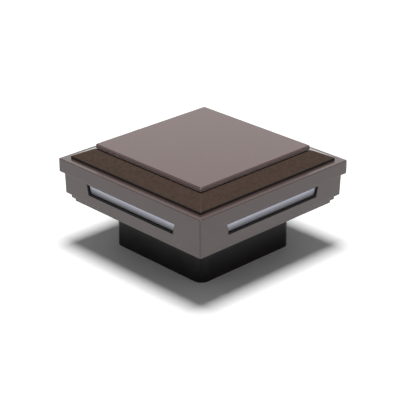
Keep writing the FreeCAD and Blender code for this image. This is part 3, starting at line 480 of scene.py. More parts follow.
def lofted(name, rings, closed):
    """A solid through rings that all have the same number of points."""
    count = len(rings[0])
    faces = list(loft_faces(len(rings), count, closed).values())
    if not closed:
        faces.append(tuple(reversed(range(count))))
        faces.append(tuple(range((len(rings) - 1) * count, len(rings) * count)))
    return new_piece(name, [point for ring_points in rings for point in ring_points], faces)


def rounded_edge(half, level, radius, corner, start, end):
    """Rings along a round level edge, whose centre lies radius inside half and at level."""
    rings = []
    for step in range(EDGE_STEPS + 1):
        angle = math.radians(start + (end - start) * step / EDGE_STEPS)
        inset = radius * (1 - math.cos(angle))
        height = level + radius * math.sin(angle)
        rings.append(ring(half - inset, height, max(corner - inset, LEAST_CORNER)))
    return rings


def settle(piece):
    """Turn the piece and its modifiers into one plain mesh."""
    graph = bpy.context.evaluated_depsgraph_get()
    made = bpy.data.meshes.new_from_object(
        piece.evaluated_get(graph), preserve_all_data_layers=True, depsgraph=graph
    )
    old = piece.data
    piece.modifiers.clear()
    piece.data = made
    bpy.data.meshes.remove(old)
    made.name = piece.name
    return piece


def eased(piece, width):
    """Take width mm off the sharp edges, as a casting or a moulding has none."""
    bevel = piece.modifiers.new("eased edges", "BEVEL")
    bevel.width = width * MM
    bevel.segments = 3
    bevel.limit_method = "ANGLE"
    bevel.angle_limit = math.radians(SHARP_EDGE)
    return settle(piece)


def combine(piece, tool, operation):
    """Join tool to piece, or cut it away, and drop the tool."""
    boolean = piece.modifiers.new("combine", "BOOLEAN")
    boolean.operation = operation
    boolean.object = tool
    boolean.solver = "EXACT"
    settle(piece)
    bpy.data.objects.remove(tool)
    return piece


def rods(name, places, low, high, radius):
    """Upright round bars at places, in mm."""
    points, faces = [], []
    for x, y in places:
        first = len(points)
        for level in (low, high):
            for step in range(ROD_SIDES):
                angle = 2 * math.pi * step / ROD_SIDES
                points.append((x + radius * math.cos(angle), y + radius * math.sin(angle), level))
        over = first + ROD_SIDES
        for step in range(ROD_SIDES):
            following = (step + 1) % ROD_SIDES
            faces.append((first + step, first + following, over + following, over + step))
        faces.append(tuple(first + step for step in reversed(range(ROD_SIDES))))
        faces.append(tuple(over + step for step in range(ROD_SIDES)))
    return new_piece(name, points, faces)


def smooth(piece, sharp=35.0):
    """Smooth shading with flats that stay flat."""
    piece.data.shade_smooth()
    piece.data.set_sharp_from_angle(angle=math.radians(sharp))
    weigh = piece.modifiers.new("even shading", "WEIGHTED_NORMAL")
    weigh.keep_sharp = True
    return settle(piece)


def install(piece, body, slot, *nodes):
    """Give the piece its finish and body, and let it stand for the frame's nodes."""
    if not piece.data.materials:
        piece.data.materials.append(FINISH[slot])
    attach(piece, body)
    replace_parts(piece, *nodes)
    print(piece.name, len(piece.data.polygons), "faces")
    return piece


def four_corners(spread):
    return [(a * spread, b * spread) for a in (1, -1) for b in (1, -1)]


def around(side, across, out, level):
    """A point given by how far it lies along a side, out from the axis, and up."""
    x, y = OUTWARD[side]
    return (x * out - y * across, y * out + x * across, level)


# %% [markdown]
# ## The windows' outline
# Each window is a trapezoid, a little wider at its head, because the band is a drafted casting.
# The housing, the liners and the strips all follow this one outline, some way in or out.

# %% Window sizes
neck_low, neck_high = box_mm("lens_frame_right")
LINER_GAP = 0.15
LINER_WALL = 0.7
LINER_MARGIN = 3.8
WINDOW_END = 27.0
WINDOW_LEAN = 1.8
RIM_OVERHANG = 2.8
BAND_HALF = box_mm("housing")[1].x - RIM_OVERHANG
WINDOW_HEAD = BAND_HALF - WINDOW_END
WINDOW_FOOT = WINDOW_HEAD - WINDOW_LEAN
WINDOW_LOW = neck_low.z + LINER_MARGIN
WINDOW_HIGH = neck_high.z - LINER_MARGIN


def sight(grow):
    """The window's outline in (across, level), anticlockwise from outside and grown by some mm."""
    low, high = WINDOW_LOW - grow, WINDOW_HIGH + grow
    foot, head = WINDOW_FOOT + grow, WINDOW_HEAD + grow
    return [(-foot, low), (foot, low), (head, high), (-head, high)]


def window_corners(out, side):
    """The window's four corners as points; out says how far out they lie at a height."""
    return [around(side, across, out(level), level) for across, level in sight(0)]


print("window", round(2 * WINDOW_HEAD, 1), "x", round(WINDOW_HIGH - WINDOW_LOW, 1), "mm")

# %% [markdown]
# ## The housing
# The real housing is one pressure casting: a stepped ledge at the foot, a band with the
# windows, a rim that overhangs it, and four corner pillars that the lid's long screws pass. It
# is lofted through its section, which closes on itself. The windows are left out of the quads
# of the band, outside and inside, and short quads line them. The edges are eased before the
# pillars join, so the easing stays regular.

# %% Housing
LEDGE_HEIGHT = 4.0
LEDGE_REACH = 11.2
LEDGE_STEP = 3.3
BAND_WALL = 3.0
BAND_DRAFT = 0.4
BAND_HEIGHT = 18.0
RIM_ROUND = 0.8
LIP_HEIGHT = 3.0
LIP_REACH = 4.2
UPRIGHT_ROUND = 1.2
INNER_ROUND = 0.9

housing_low, housing_high = box_mm("housing")
ledge_foot = housing_low.z
ledge_top = ledge_foot + LEDGE_HEIGHT
band_top = ledge_top + BAND_HEIGHT
rim_top = housing_high.z
rim_half = housing_high.x
inner_wall = BAND_HALF - BAND_WALL
lip_foot = rim_top - LIP_HEIGHT
band_foot_half = BAND_HALF - BAND_DRAFT

section = [
    ring(inner_wall - LEDGE_REACH, ledge_foot, INNER_ROUND),
    ring(BAND_HALF - LEDGE_STEP, ledge_foot, UPRIGHT_ROUND),
    ring(BAND_HALF - LEDGE_STEP, ledge_top, UPRIGHT_ROUND),
    ring(band_foot_half, ledge_top, UPRIGHT_ROUND),
    ring(BAND_HALF, band_top, UPRIGHT_ROUND),
    *rounded_edge(rim_half, band_top + RIM_ROUND / 2, RIM_ROUND / 2, UPRIGHT_ROUND, -90, 0),
    *rounded_edge(rim_half, rim_top - RIM_ROUND, RIM_ROUND, UPRIGHT_ROUND, 0, 90),
    ring(inner_wall - LIP_REACH, rim_top, INNER_ROUND),
    ring(inner_wall - LIP_REACH, lip_foot, INNER_ROUND),
    ring(inner_wall, lip_foot, INNER_ROUND),
    ring(inner_wall, ledge_top, INNER_ROUND),
    ring(inner_wall - LEDGE_REACH, ledge_top, INNER_ROUND),
]
OUTER_BAND = 3
INNER_BAND = len(section) - 3


def band_out(level):
    """How far out the drafted band stands at a height."""
    return band_foot_half + BAND_DRAFT * (level - ledge_top) / BAND_HEIGHT


faces = loft_faces(len(section), RING_COUNT, closed=True)
points = [point for ring_points in section for point in ring_points]
for number, side in enumerate(SIDES):
    place = number * (CORNER_STEPS + 1) + CORNER_STEPS
    outside = faces.pop((OUTER_BAND, place))
    inside = faces.pop((INNER_BAND, place))
    outer = list(range(len(points), len(points) + 4))
    inner = list(range(len(points) + 4, len(points) + 8))
    points += window_corners(band_out, side)
    points += window_corners(lambda level: inner_wall, side)
    wall = (inside[3], inside[2], inside[1], inside[0])
    for here in range(4):
        after = (here + 1) % 4
        faces[side, "outside", here] = (outside[here], outside[after], outer[after], outer[here])
        faces[side, "reveal", here] = (outer[here], outer[after], inner[after], inner[here])
        faces[side, "inside", here] = (wall[after], wall[here], inner[here], inner[after])
housing = eased(new_piece("cast_housing", points, list(faces.values())), 0.35)

# %% Pillars and webs of the housing
PILLAR_INSET = 14.2
PILLAR_RADIUS = 5.0
PILLAR_BORE = 2.4
WEB_THICK = 3.0
WEB_SINK = 0.2
pillar = inner_wall - PILLAR_INSET
pillars = rods("pillars", four_corners(pillar), ledge_foot, lip_foot, PILLAR_RADIUS)
combine(housing, pillars, "UNION")

points, faces = [], []
half = WEB_THICK / 2 * math.sqrt(0.5)
reach = inner_wall + UPRIGHT_ROUND
for x, y in ((1, 1), (-1, 1), (-1, -1), (1, -1)):
    first = len(points)
    for level in (ledge_top - WEB_SINK, ledge_top - WEB_SINK + BAND_HEIGHT):
        for far, shift in ((pillar, half), (pillar, -half), (reach, -half), (reach, half)):
            points.append((x * far - y * shift, y * far + x * shift, level))
    faces += [
        tuple(first + place for place in face)
        for face in ((3, 2, 1, 0), (4, 5, 6, 7), (0, 1, 5, 4), (1, 2, 6, 5), (2, 3, 7, 6), (3, 0, 4, 7))
    ]
webs = new_piece("webs", points, faces)
tidy = bmesh.new()
tidy.from_mesh(webs.data)
bmesh.ops.recalc_face_normals(tidy, faces=tidy.faces)
tidy.to_mesh(webs.data)
tidy.free()
combine(housing, webs, "UNION")
bores = rods("bores", four_corners(pillar), ledge_foot - 1, lip_foot + 1, PILLAR_BORE)
combine(housing, bores, "DIFFERENCE")
install(smooth(housing), "base", "bronze_paint", "housing")

# %% [markdown]
# ## The lid
# The sloped collar is the lid's casting: four slopes up to a small deck, a raised pad that the
# plate lies on, a spigot that drops inside the rim, and four bosses for the brass inserts.
# Below it lies a flat rubber ring. Both are lofts like the housing.

# %% Sloped collar
COLLAR_RISE = 6.1
COLLAR_RUN = 12.8
COLLAR_WALL = 2.5
COLLAR_FLANGE = 5.8
PAD_INSET = 4.6
PAD_HEIGHT = 0.7
LID_GAP = 0.3
BOSS_RADIUS = 4.5
INSERT_RADIUS = 2.9
BOSS_SINK = 0.3
SEAT_SPARE = 0.4
collar_low, collar_high = box_mm("sloped_collar")
gasket_low, gasket_high = box_mm("lid_gasket")
insert_low, insert_high = box_mm("threaded_inserts")
collar_foot = gasket_high.z
collar_half = collar_high.x
deck_top = collar_foot + COLLAR_RISE
deck_half = collar_half - COLLAR_RUN
deck_foot = deck_top - COLLAR_WALL
hollow_half = collar_half - COLLAR_FLANGE
spigot_half = inner_wall - LIP_REACH - LID_GAP
ceiling_half = hollow_half - (COLLAR_RISE - COLLAR_WALL) * COLLAR_RUN / COLLAR_RISE

collar = lofted("sloped_collar_casting", [
    ring(ceiling_half, deck_foot, INNER_ROUND),
    ring(hollow_half, collar_foot, INNER_ROUND),
    ring(hollow_half, collar_low.z, INNER_ROUND),
    ring(spigot_half, collar_low.z, INNER_ROUND),
    ring(spigot_half, collar_foot, INNER_ROUND),
    ring(collar_half, collar_foot, UPRIGHT_ROUND),
    ring(deck_half, deck_top, UPRIGHT_ROUND),
    ring(deck_half - PAD_INSET, deck_top, INNER_ROUND),
    ring(deck_half - PAD_INSET, deck_top + PAD_HEIGHT, INNER_ROUND),
], closed=False)
eased(collar, 0.3)
boss_top = deck_foot + BOSS_SINK
bosses = rods("bosses", four_corners(pillar), insert_low.z, boss_top, BOSS_RADIUS)
combine(collar, bosses, "UNION")
seat_top = insert_high.z + SEAT_SPARE
seats = rods("seats", four_corners(pillar), insert_low.z - 1, seat_top, INSERT_RADIUS)
combine(collar, seats, "DIFFERENCE")
install(smooth(collar), "lid", "collar_paint", "sloped_collar")

# %% Lid gasket
GASKET_WIDTH = 2.9
gasket = lofted("lid_gasket_ring", [
    ring(collar_half - GASKET_WIDTH, gasket_low.z, INNER_ROUND),
    ring(collar_half, gasket_low.z, UPRIGHT_ROUND),
    ring(collar_half, gasket_high.z, UPRIGHT_ROUND),
    ring(collar_half - GASKET_WIDTH, gasket_high.z, INNER_ROUND),
], closed=True)
install(smooth(eased(gasket, 0.3)), "lid", "black_rubber", "lid_gasket")

# %% [markdown]
# ## The windows' liners and strips
# A liner is a black frame that goes in from behind: its flange lies against the wall, and its
# thin neck lines the window. The frosted strip sits in a rebate of the liner. The liner is a
# loft again, this time from outline to outline along the way out of the window.

# %% Liners
LINER_FLANGE = 2.2
LENS_OVERLAP = 0.5
OUTLINE_STEPS = 3


def soft_corners(corners, radius):
    """The outline through corners, in (across, level), with each corner rounded."""
    points = []
    for number, corner in enumerate(corners):
        corner = Vector(corner)
        before = (Vector(corners[number - 1]) - corner).normalized() * radius
        after = (Vector(corners[(number + 1) % len(corners)]) - corner).normalized() * radius
        for step in range(OUTLINE_STEPS + 1):
            share = step / OUTLINE_STEPS
            points.append(corner + before * (1 - share) ** 2 + after * share**2)
    return points


flange_half = WINDOW_HEAD + LINER_MARGIN
flange = [
    (-flange_half, neck_low.z),
    (flange_half, neck_low.z),
    (flange_half, neck_high.z),
    (-flange_half, neck_high.z),
]
LENS_THICK = 2.0
lens_back = neck_low.x
lens_front = lens_back + LENS_THICK
lens_face = box_mm("lens_right")[1].x
neck_front = neck_high.x
rebate = sight(LENS_OVERLAP - LINER_WALL)
opening = sight(-LINER_GAP - LINER_WALL)
liner_section = [
    (flange, 0.8, lens_back),
    (flange, 0.8, lens_back + LINER_FLANGE),
    (sight(-LINER_GAP), 0.3, lens_back + LINER_FLANGE),
    (sight(-LINER_GAP), 0.3, neck_front),
    (opening, 0.3, neck_front),
    (opening, 0.3, lens_front),
    (rebate, 0.2, lens_front),
    (rebate, 0.2, lens_back),
]
for side in SIDES:
    rings = [
        [around(side, across, out, level) for across, level in soft_corners(corners, radius)]
        for corners, radius, out in liner_section
    ]
    liner = smooth(eased(lofted("liner_" + side, rings, closed=True), 0.12))
    install(liner, "base", "black_gloss", "lens_frame_" + side)

# %% [markdown]
# ## Geometry Nodes: start a tree, run a tree
# What repeats is made by Geometry Nodes. Each tree has named inputs for its sizes, in metres,
# and ends in Realize Instances. To run one, an object with a few starting points gets the tree
# as a modifier, its inputs are set, and what comes out is kept as a plain mesh.

# %% Helpers for Geometry Nodes


def new_tree(name, **sizes):
    """A tree with named inputs; returns it and its inputs' sockets by name."""
    tree = bpy.data.node_groups.new(name, "GeometryNodeTree")
    tree.interface.new_socket("Points", in_out="INPUT", socket_type="NodeSocketGeometry")
    tree.interface.new_socket("Made", in_out="OUTPUT", socket_type="NodeSocketGeometry")
    for label, first in sizes.items():
        kind = "NodeSocketInt" if isinstance(first, int) else "NodeSocketFloat"
        tree.interface.new_socket(label, in_out="INPUT", socket_type=kind).default_value = first
    start = tree.nodes.new("NodeGroupInput")
    return tree, {socket.name: socket for socket in start.outputs if socket.name}


def end_tree(tree, geometry):
    """Make what the tree made real, and give it out."""
    real = add(tree, "GeometryNodeRealizeInstances", {0: geometry}).outputs[0]
    add(tree, "NodeGroupOutput", {0: real})
    return tree


def painted(tree, geometry, finish):
    node = add(tree, "GeometryNodeSetMaterial", {"Geometry": geometry})
    node.inputs["Material"].default_value = FINISH[finish]
    return node.outputs[0]


def vector(tree, x=0.0, y=0.0, z=0.0):
    return add(tree, "ShaderNodeCombineXYZ", {0: x, 1: y, 2: z}).outputs[0]


def merged(tree, *parts):
    """Join parts that share a border, and close it."""
    joined = side_by_side(tree, *parts)
    return add(tree, "GeometryNodeMergeByDistance", {0: joined, "Distance": 0.002 * MM}).outputs[0]


def side_by_side(tree, *parts):
    """Join parts that stay apart."""
    joined = add(tree, "GeometryNodeJoinGeometry")
    for part in parts:
        tree.links.new(part, joined.inputs[0])
    return joined.outputs[0]


def block(tree, size, middle):
    """A box of a size, about its middle; both are triples of numbers or sockets."""
    cube = add(tree, "GeometryNodeMeshCube", {"Size": vector(tree, *size)}).outputs[0]
    move = vector(tree, *middle)
    return add(tree, "GeometryNodeTransform", {0: cube, "Translation": move}).outputs[0]


def on_points(tree, instance):
    """An instance on each starting point, turned by the point's own turn."""
    points = add(tree, "NodeGroupInput").outputs[0]
    turn = add(tree, "GeometryNodeInputNamedAttribute", {"Name": "turn"}, data_type="FLOAT_VECTOR")
    turned = add(tree, "FunctionNodeEulerToRotation", {0: turn.outputs[0]}).outputs[0]
    return add(tree, "GeometryNodeInstanceOnPoints", {
        "Points": points, "Instance": instance, "Rotation": turned,
    }).outputs[0]


def grow(name, tree, places, **sizes):
    """Run a tree on places, each a point in mm and a turn, and keep what it makes as a plain mesh."""
    piece = new_piece(name, [point for point, turn in places], [])
    turns = piece.data.attributes.new("turn", "FLOAT_VECTOR", "POINT")
    for number, (point, turn) in enumerate(places):
        turns.data[number].vector = turn
    maker = piece.modifiers.new("maker", "NODES")
    maker.node_group = tree
    for item in tree.interface.items_tree:
        if item.in_out == "INPUT" and item.name in sizes:
            maker[item.identifier] = sizes[item.name]
    settle(piece)
    if "turn" in piece.data.attributes:
        piece.data.attributes.remove(piece.data.attributes["turn"])
    return piece


# %% [markdown]
# ## The frosted strips
# Fine upright ribs on a strip spread the light of the six chips into one even line. The tree
# starts from a grid, moves each point in by a cosine of how far along the strip it lies, and
# widens the grid towards its head. Extruding it back and flattening that side gives a layer. A
# strip is two layers: the ribbed face, and behind it a plain one that reaches into the rebate.

# %% Strip tree
EDGE_INSET = LENS_OVERLAP - LINER_WALL - LINER_GAP
FACE_INSET = -LINER_WALL - 2 * LINER_GAP
FACE_SHORT = 0.5
RIB_PITCH = 1.2
RIB_DEPTH = 0.10
POINTS_A_RIB = 6

tree, size = new_tree(
    "frosted_strip", foot=0.09, head=0.1, height=0.008, thick=0.002, ribs=60, rib_depth=0.0001, along=361
)
grid = add(tree, "GeometryNodeMeshGrid", {
    "Size X": 1.0, "Size Y": 1.0, "Vertices X": size["along"], "Vertices Y": 3,
}).outputs[0]
spot = add(tree, "ShaderNodeSeparateXYZ", {0: add(tree, "GeometryNodeInputPosition").outputs[0]})
up = calc(tree, "ADD", spot.outputs["Y"], 0.5)
widening = calc(tree, "SUBTRACT", size["head"], size["foot"])
wide = calc(tree, "ADD", size["foot"], times(tree, up, widening))
turns = times(tree, times(tree, spot.outputs["X"], size["ribs"]), 2 * math.pi)
wave = calc(tree, "COSINE", turns)
sunk = times(tree, times(tree, calc(tree, "SUBTRACT", wave, 1.0), 0.5), size["rib_depth"])
across = times(tree, spot.outputs["X"], wide)
upwards = times(tree, spot.outputs["Y"], size["height"])
ribbed = add(tree, "GeometryNodeSetPosition", {
    "Geometry": grid, "Position": vector(tree, across, upwards, sunk),
}).outputs[0]
backwards = times(tree, size["thick"], -1.0)
pushed = add(tree, "GeometryNodeExtrudeMesh", {
    "Mesh": ribbed, "Offset": vector(tree, z=backwards), "Individual": False,
})
place = add(tree, "ShaderNodeSeparateXYZ", {0: add(tree, "GeometryNodeInputPosition").outputs[0]})
flat = add(tree, "GeometryNodeSetPosition", {
    "Geometry": pushed.outputs["Mesh"],
    "Selection": pushed.outputs["Top"],
    "Position": vector(tree, place.outputs["X"], place.outputs["Y"], backwards),
}).outputs[0]
body = merged(tree, ribbed, add(tree, "GeometryNodeFlipFaces", {0: flat}).outputs[0])
strip_tree = end_tree(tree, painted(tree, on_points(tree, body), "frosted_lens"))

# %% Four strips
TURN = {"front": 0.0, "right": math.pi / 2, "back": math.pi, "left": -math.pi / 2}
strip_middle = (WINDOW_HIGH + WINDOW_LOW) / 2
ribs = round(2 * WINDOW_HEAD / RIB_PITCH)


def strip_layer(name, side, inset, front, thick, depth):
    """A layer of a strip: outline inset from the window's, place of its front, depth of its ribs."""
    return grow(
        name, strip_tree,
        [(around(side, 0, front, strip_middle), (math.pi / 2, 0, TURN[side]))],
        foot=2 * (WINDOW_FOOT + inset) * MM, head=2 * (WINDOW_HEAD + inset) * MM,
        height=(WINDOW_HIGH - WINDOW_LOW + 2 * inset) * MM, thick=thick * MM,
        ribs=ribs, rib_depth=depth * MM, along=ribs * POINTS_A_RIB + 1,
    )


face_thick = lens_face - lens_back - FACE_SHORT
for side in SIDES:
    strip = strip_layer("frosted_strip_" + side, side, FACE_INSET, lens_face, face_thick, RIB_DEPTH)
    edge = strip_layer("strip_edge_" + side, side, EDGE_INSET, lens_front, LENS_THICK, 0.0)
    combine(strip, edge, "UNION")
    install(smooth(strip), "base", "frosted_lens", "lens_" + side)

# %% [markdown]
# ## The top plate
# The plate is a square slab with small round corners and a soft upper edge. Its shape follows
# a rule, so a tree makes it: a filled square is extruded in short steps, and each step draws the
# top in by what a quarter circle says.

# %% Plate tree
PLATE_STEPS = 7
tree, size = new_tree("edge_rounded_plate", width=0.1, thick=0.003, corner=0.001, edge=0.0009, under=0.0002)
half = times(tree, size["width"], 0.5)
foot_half = calc(tree, "SUBTRACT", half, size["under"])
square = add(tree, "GeometryNodeCurvePrimitiveQuadrilateral", {
    0: times(tree, foot_half, 2.0), 1: times(tree, foot_half, 2.0),
}).outputs[0]
rounded = add(tree, "GeometryNodeFilletCurve", {
    "Curve": square, "Radius": size["corner"], "Count": 8,
}, mode="POLY")
filled = add(tree, "GeometryNodeFillCurve", {0: rounded.outputs[0]})
filled.mode = "NGONS"
base = filled.outputs[0]
levels = [(size["under"], half)]
side_top = calc(tree, "SUBTRACT", size["thick"], size["edge"])
levels.append((side_top, half))
for step in range(1, PLATE_STEPS + 1):
    angle = math.pi / 2 * step / PLATE_STEPS
    level = calc(tree, "ADD", side_top, times(tree, size["edge"], math.sin(angle)))
    reach = calc(tree, "SUBTRACT", half, times(tree, size["edge"], 1 - math.cos(angle)))
    levels.append((level, reach))
made, top, last_level, last_half = base, None, 0.0, foot_half
for level, reach in levels:
    rise = calc(tree, "SUBTRACT", level, last_level)
    given = {"Mesh": made, "Offset": vector(tree, z=rise), "Individual": False}
    if top is not None:
        given["Selection"] = top
    pushed = add(tree, "GeometryNodeExtrudeMesh", given)
    drawn = add(tree, "GeometryNodeScaleElements", {
        "Geometry": pushed.outputs["Mesh"], "Selection": pushed.outputs["Top"],
        "Scale": calc(tree, "DIVIDE", reach, last_half),
    })
    made, top, last_level, last_half = drawn.outputs[0], pushed.outputs["Top"], level, reach
plate = merged(tree, made, add(tree, "GeometryNodeFlipFaces", {0: base}).outputs[0])
plate_tree = end_tree(tree, painted(tree, on_points(tree, plate), "plate_paint"))

# %% Top plate
PLATE_EDGE = 0.9
PLATE_UNDER = 0.15
plate_low, plate_high = box_mm("top_plate")
top_plate = grow(
    "square_top_plate", plate_tree, [((0, 0, plate_low.z), (0, 0, 0))],
    width=2 * plate_high.x * MM, thick=(plate_high.z - plate_low.z) * MM,
    corner=UPRIGHT_ROUND * MM, edge=PLATE_EDGE * MM, under=PLATE_UNDER * MM,
)
install(smooth(top_plate), "lid", "plate_paint", "top_plate")

# %% [markdown]
# ## Screws
# All the screws are pan heads with a cross recess, and differ in size and in how many turns
# their thread has. A turned part is a straight path swept with a circle whose radius changes
# along it, so one helper turns any profile. Two crossed bars cut the recess. The thread is a row
# of closed rings in the profile, which at this size looks like the real spiral.

# %% Screw tree
TURNED_SIDES = 28


def turned(tree, profile, sides=TURNED_SIDES, outline=None):
    """A solid through (radius, height) pairs along its axis, round or with another outline."""
    index = add(tree, "GeometryNodeInputIndex").outputs[0]
    switch = add(tree, "GeometryNodeIndexSwitch", data_type="VECTOR")
    while len(switch.index_switch_items) < len(profile):
        switch.index_switch_items.new()
    tree.links.new(index, switch.inputs["Index"])
    for number, (radius, height) in enumerate(profile):
        tree.links.new(vector(tree, radius, 0.0, height), switch.inputs[str(number)])
    chosen = add(tree, "ShaderNodeSeparateXYZ", {0: switch.outputs[0]})
    line = add(tree, "GeometryNodeMeshLine", {"Count": len(profile)}).outputs[0]
    risen = add(tree, "GeometryNodeSetPosition", {
        "Geometry": line, "Position": vector(tree, 0.0, 0.0, chosen.outputs["Z"]),
    }).outputs[0]
    curve = add(tree, "GeometryNodeMeshToCurve", {0: risen}).outputs[0]
    if outline is None:
        circle = {"Resolution": sides, "Radius": 1.0}
        outline = add(tree, "GeometryNodeCurvePrimitiveCircle", circle).outputs[0]
    return add(tree, "GeometryNodeCurveToMesh", {
        "Curve": curve, "Profile Curve": outline, "Scale": chosen.outputs["X"], "Fill Caps": True,
    }).outputs[0]


def screw_tree(turns):
    """A pan-head screw whose seat is at the point and whose head is above it."""
    tree, size = new_tree(
        "pan_head_screw", head=0.0025, head_height=0.0014, shank=0.00125, length=0.006,
        recess=0.0006, thread=0.005,
    )
    tiny = 0.004 * MM

    def part(of, share, less=0.0):
        return calc(tree, "SUBTRACT", times(tree, size[of], share), less)

    foot = part("length", -1.0)
    profile = [(part("shank", 0.55), foot)]
    for turn in range(turns):
        for radius, share in ((0.86, 0.15), (1.0, 0.5), (0.86, 0.85)):
            risen = times(tree, size["thread"], (turn + share) / turns)
            profile.append((part("shank", radius), calc(tree, "ADD", foot, risen)))
    profile += [
        (part("shank", 1.0), calc(tree, "ADD", foot, calc(tree, "ADD", size["thread"], 0.03 * MM))),
        (part("shank", 1.0), 0.0),
        (part("head", 0.97), tiny),
        (part("head", 1.0), part("head_height", 0.08)),
        (part("head", 1.0), part("head_height", 0.45)),
        (part("head", 0.96), part("head_height", 0.66)),
        (part("head", 0.85), part("head_height", 0.84)),
        (part("head", 0.66), part("head_height", 0.95)),
        (part("head", 0.40), part("head_height", 1.0)),
    ]
    blank = turned(tree, profile)
    wide, deep = part("head", 1.2), part("head_height", 0.5)
    middle = (0.0, 0.0, part("head_height", 0.8))
    cut = add(tree, "GeometryNodeMeshBoolean", {"Mesh 1": blank}, operation="DIFFERENCE")
    for bar in ((wide, size["recess"], deep), (size["recess"], wide, deep)):
        tree.links.new(block(tree, bar, middle), cut.inputs["Mesh 2"])
    return end_tree(tree, painted(tree, on_points(tree, cut.outputs[0]), "steel"))


short_screw = screw_tree(5)
long_screw = screw_tree(14)

# %% [markdown]
# ### Where the screws go
# The frame's boxes say where the outermost screws are: a head's radius in from the box's side.
# Screws with their heads below are turned over, and those of the boards lie on their side.

# %% Upright screws
OVER = (math.pi, 0, 0)
UPRIGHT = (0, 0, 0)
SMALL_HEAD = 2.5
PLATE_SCREW_OFF = 30.0
EAR_WIDTH = 6.5
BOARD_SCREW_IN = 2.0
THREAD_SHARE = 0.75
LONG_THREAD_SHARE = 0.3
SMALL = {"head": SMALL_HEAD * MM, "head_height": 1.4 * MM, "shank": 1.25 * MM, "recess": 0.6 * MM}
SLEEVE = {"head": 2.9 * MM, "head_height": 1.8 * MM, "shank": 1.5 * MM, "recess": 0.6 * MM}
LONG = {"head": 3.8 * MM, "head_height": 2.4 * MM, "shank": 2.0 * MM, "recess": 0.8 * MM}
LIGHT = {"head": 1.7 * MM, "head_height": 1.2 * MM, "shank": 0.9 * MM, "recess": 0.5 * MM}


def upright_screws(node, body, kind, places, below, tree=short_screw, thread=THREAD_SHARE):
    """Screws whose box is the node's; below says that their heads are at the foot."""
    low, high = box_mm(node)
    head = kind["head_height"] / MM
    seat = low.z + head if below else high.z - head
    length = high.z - low.z - head
    turn = OVER if below else UPRIGHT
    spots = [((x, y, seat), turn) for x, y in places]
    made = grow(
        node + "_made", tree, spots, length=length * MM, thread=length * thread * MM, **kind
    )
    return install(smooth(made, 40), body, "steel", node)


def spread_of(node, kind):
    """How far out the screws of a node stand."""
    return box_mm(node)[1].x - kind["head"] / MM


LID_PLACES = four_corners(spread_of("lid_screws", LONG))
SLEEVE_PLACES = four_corners(spread_of("sleeve_screws", SLEEVE))
TOP_PLACES = four_corners(spread_of("top_plate_screws", SMALL))
upright_screws("lid_screws", "base", LONG, LID_PLACES, True, long_screw, LONG_THREAD_SHARE)
upright_screws("sleeve_screws", "base", SLEEVE, SLEEVE_PLACES, True)
upright_screws("top_plate_screws", "lid", SMALL, TOP_PLACES, True)
line = spread_of("bottom_plate_screws", SMALL)
PLATE_SCREW_PLACES = [(a, b) for a in (line, -line) for b in (PLATE_SCREW_OFF, -PLATE_SCREW_OFF)]
PLATE_SCREW_PLACES += [(b, a) for a, b in PLATE_SCREW_PLACES]
upright_screws("bottom_plate_screws", "base", SMALL, PLATE_SCREW_PLACES, True)
low, high = box_mm("driver_screws")
middle_y = (low.y + high.y) / 2
reach = (high.y - low.y) / 2 - SMALL_HEAD
DRIVER_PLACES = [
    (x, middle_y + y)
    for x in (high.x - SMALL_HEAD, low.x + SMALL_HEAD)
    for y in (reach, -reach)
]
upright_screws("driver_screws", "base", SMALL, DRIVER_PLACES, False)
ear_line = spread_of("reflector_screws", LIGHT)
ear_hole = box_mm("reflector_right")[1].y - EAR_WIDTH / 2
REFLECTOR_PLACES = [
    around(side, across, ear_line, 0)[:2] for side in SIDES for across in (ear_hole, -ear_hole)
]
upright_screws("reflector_screws", "base", LIGHT, REFLECTOR_PLACES, False)

# %% Screws of the light boards
low, high = box_mm("led_board_right")
board_back = low.x
board_screw = high.y - BOARD_SCREW_IN
light_level = (low.z + high.z) / 2
reach = box_mm("led_board_screws")[1].x - board_back
FACING_IN = {"front": (-math.pi / 2, 0, 0), "back": (math.pi / 2, 0, 0)}
FACING_IN["right"] = (0, -math.pi / 2, 0)
FACING_IN["left"] = (0, math.pi / 2, 0)
spots = [
    (around(side, across, board_back, light_level), FACING_IN[side])
    for side in SIDES
    for across in (board_screw, -board_screw)
]
board_screws = grow(
    "led_board_screws_made", short_screw, spots,
    length=reach * MM, thread=reach * THREAD_SHARE * MM, **LIGHT,
)
install(smooth(board_screws, 40), "base", "steel", "led_board_screws")

# %% [markdown]
# ## Light chips
# A white light chip is a small moulded tray filled with yellow phosphor. The tree makes one
# tray with its domed filling, in two finishes, and stands a copy on each of a board's six places.

# %% Light chips
TRAY_SHARE = 0.8
FILLING_SIDES = 24
CONTACT_WIDE = 0.35
tree, size = new_tree("light_chip", wide=0.003, tall=0.0028, thick=0.0008)
tray_depth = times(tree, size["thick"], TRAY_SHARE)
tray = block(
    tree, (size["wide"], size["tall"], tray_depth), (0.0, 0.0, times(tree, tray_depth, 0.5))
)
filling = turned(tree, [
    (times(tree, size["tall"], 0.40), times(tree, tray_depth, 0.8)),
    (times(tree, size["tall"], 0.40), times(tree, size["thick"], 0.86)),
    (times(tree, size["tall"], 0.30), times(tree, size["thick"], 0.95)),
    (times(tree, size["tall"], 0.12), size["thick"]),
], FILLING_SIDES)
contacts = side_by_side(tree, *[
    block(
        tree,
        (CONTACT_WIDE * MM, times(tree, size["tall"], 0.8), times(tree, size["thick"], 0.3)),
        (times(tree, size["wide"], sign * 0.44), 0.0, times(tree, size["thick"], 0.68)),
    )
    for sign in (1, -1)
])
chip = side_by_side(
    tree,
    painted(tree, tray, "white_plastic"),
    painted(tree, filling, "led_yellow"),
    painted(tree, contacts, "brass"),
)
chip_tree = end_tree(tree, on_points(tree, chip))
chips_low, chips_high = box_mm("leds_right")
CHIP_WIDE = 3.0
CHIP_COUNT = 6
chip_span = chips_high.y - chips_low.y - CHIP_WIDE
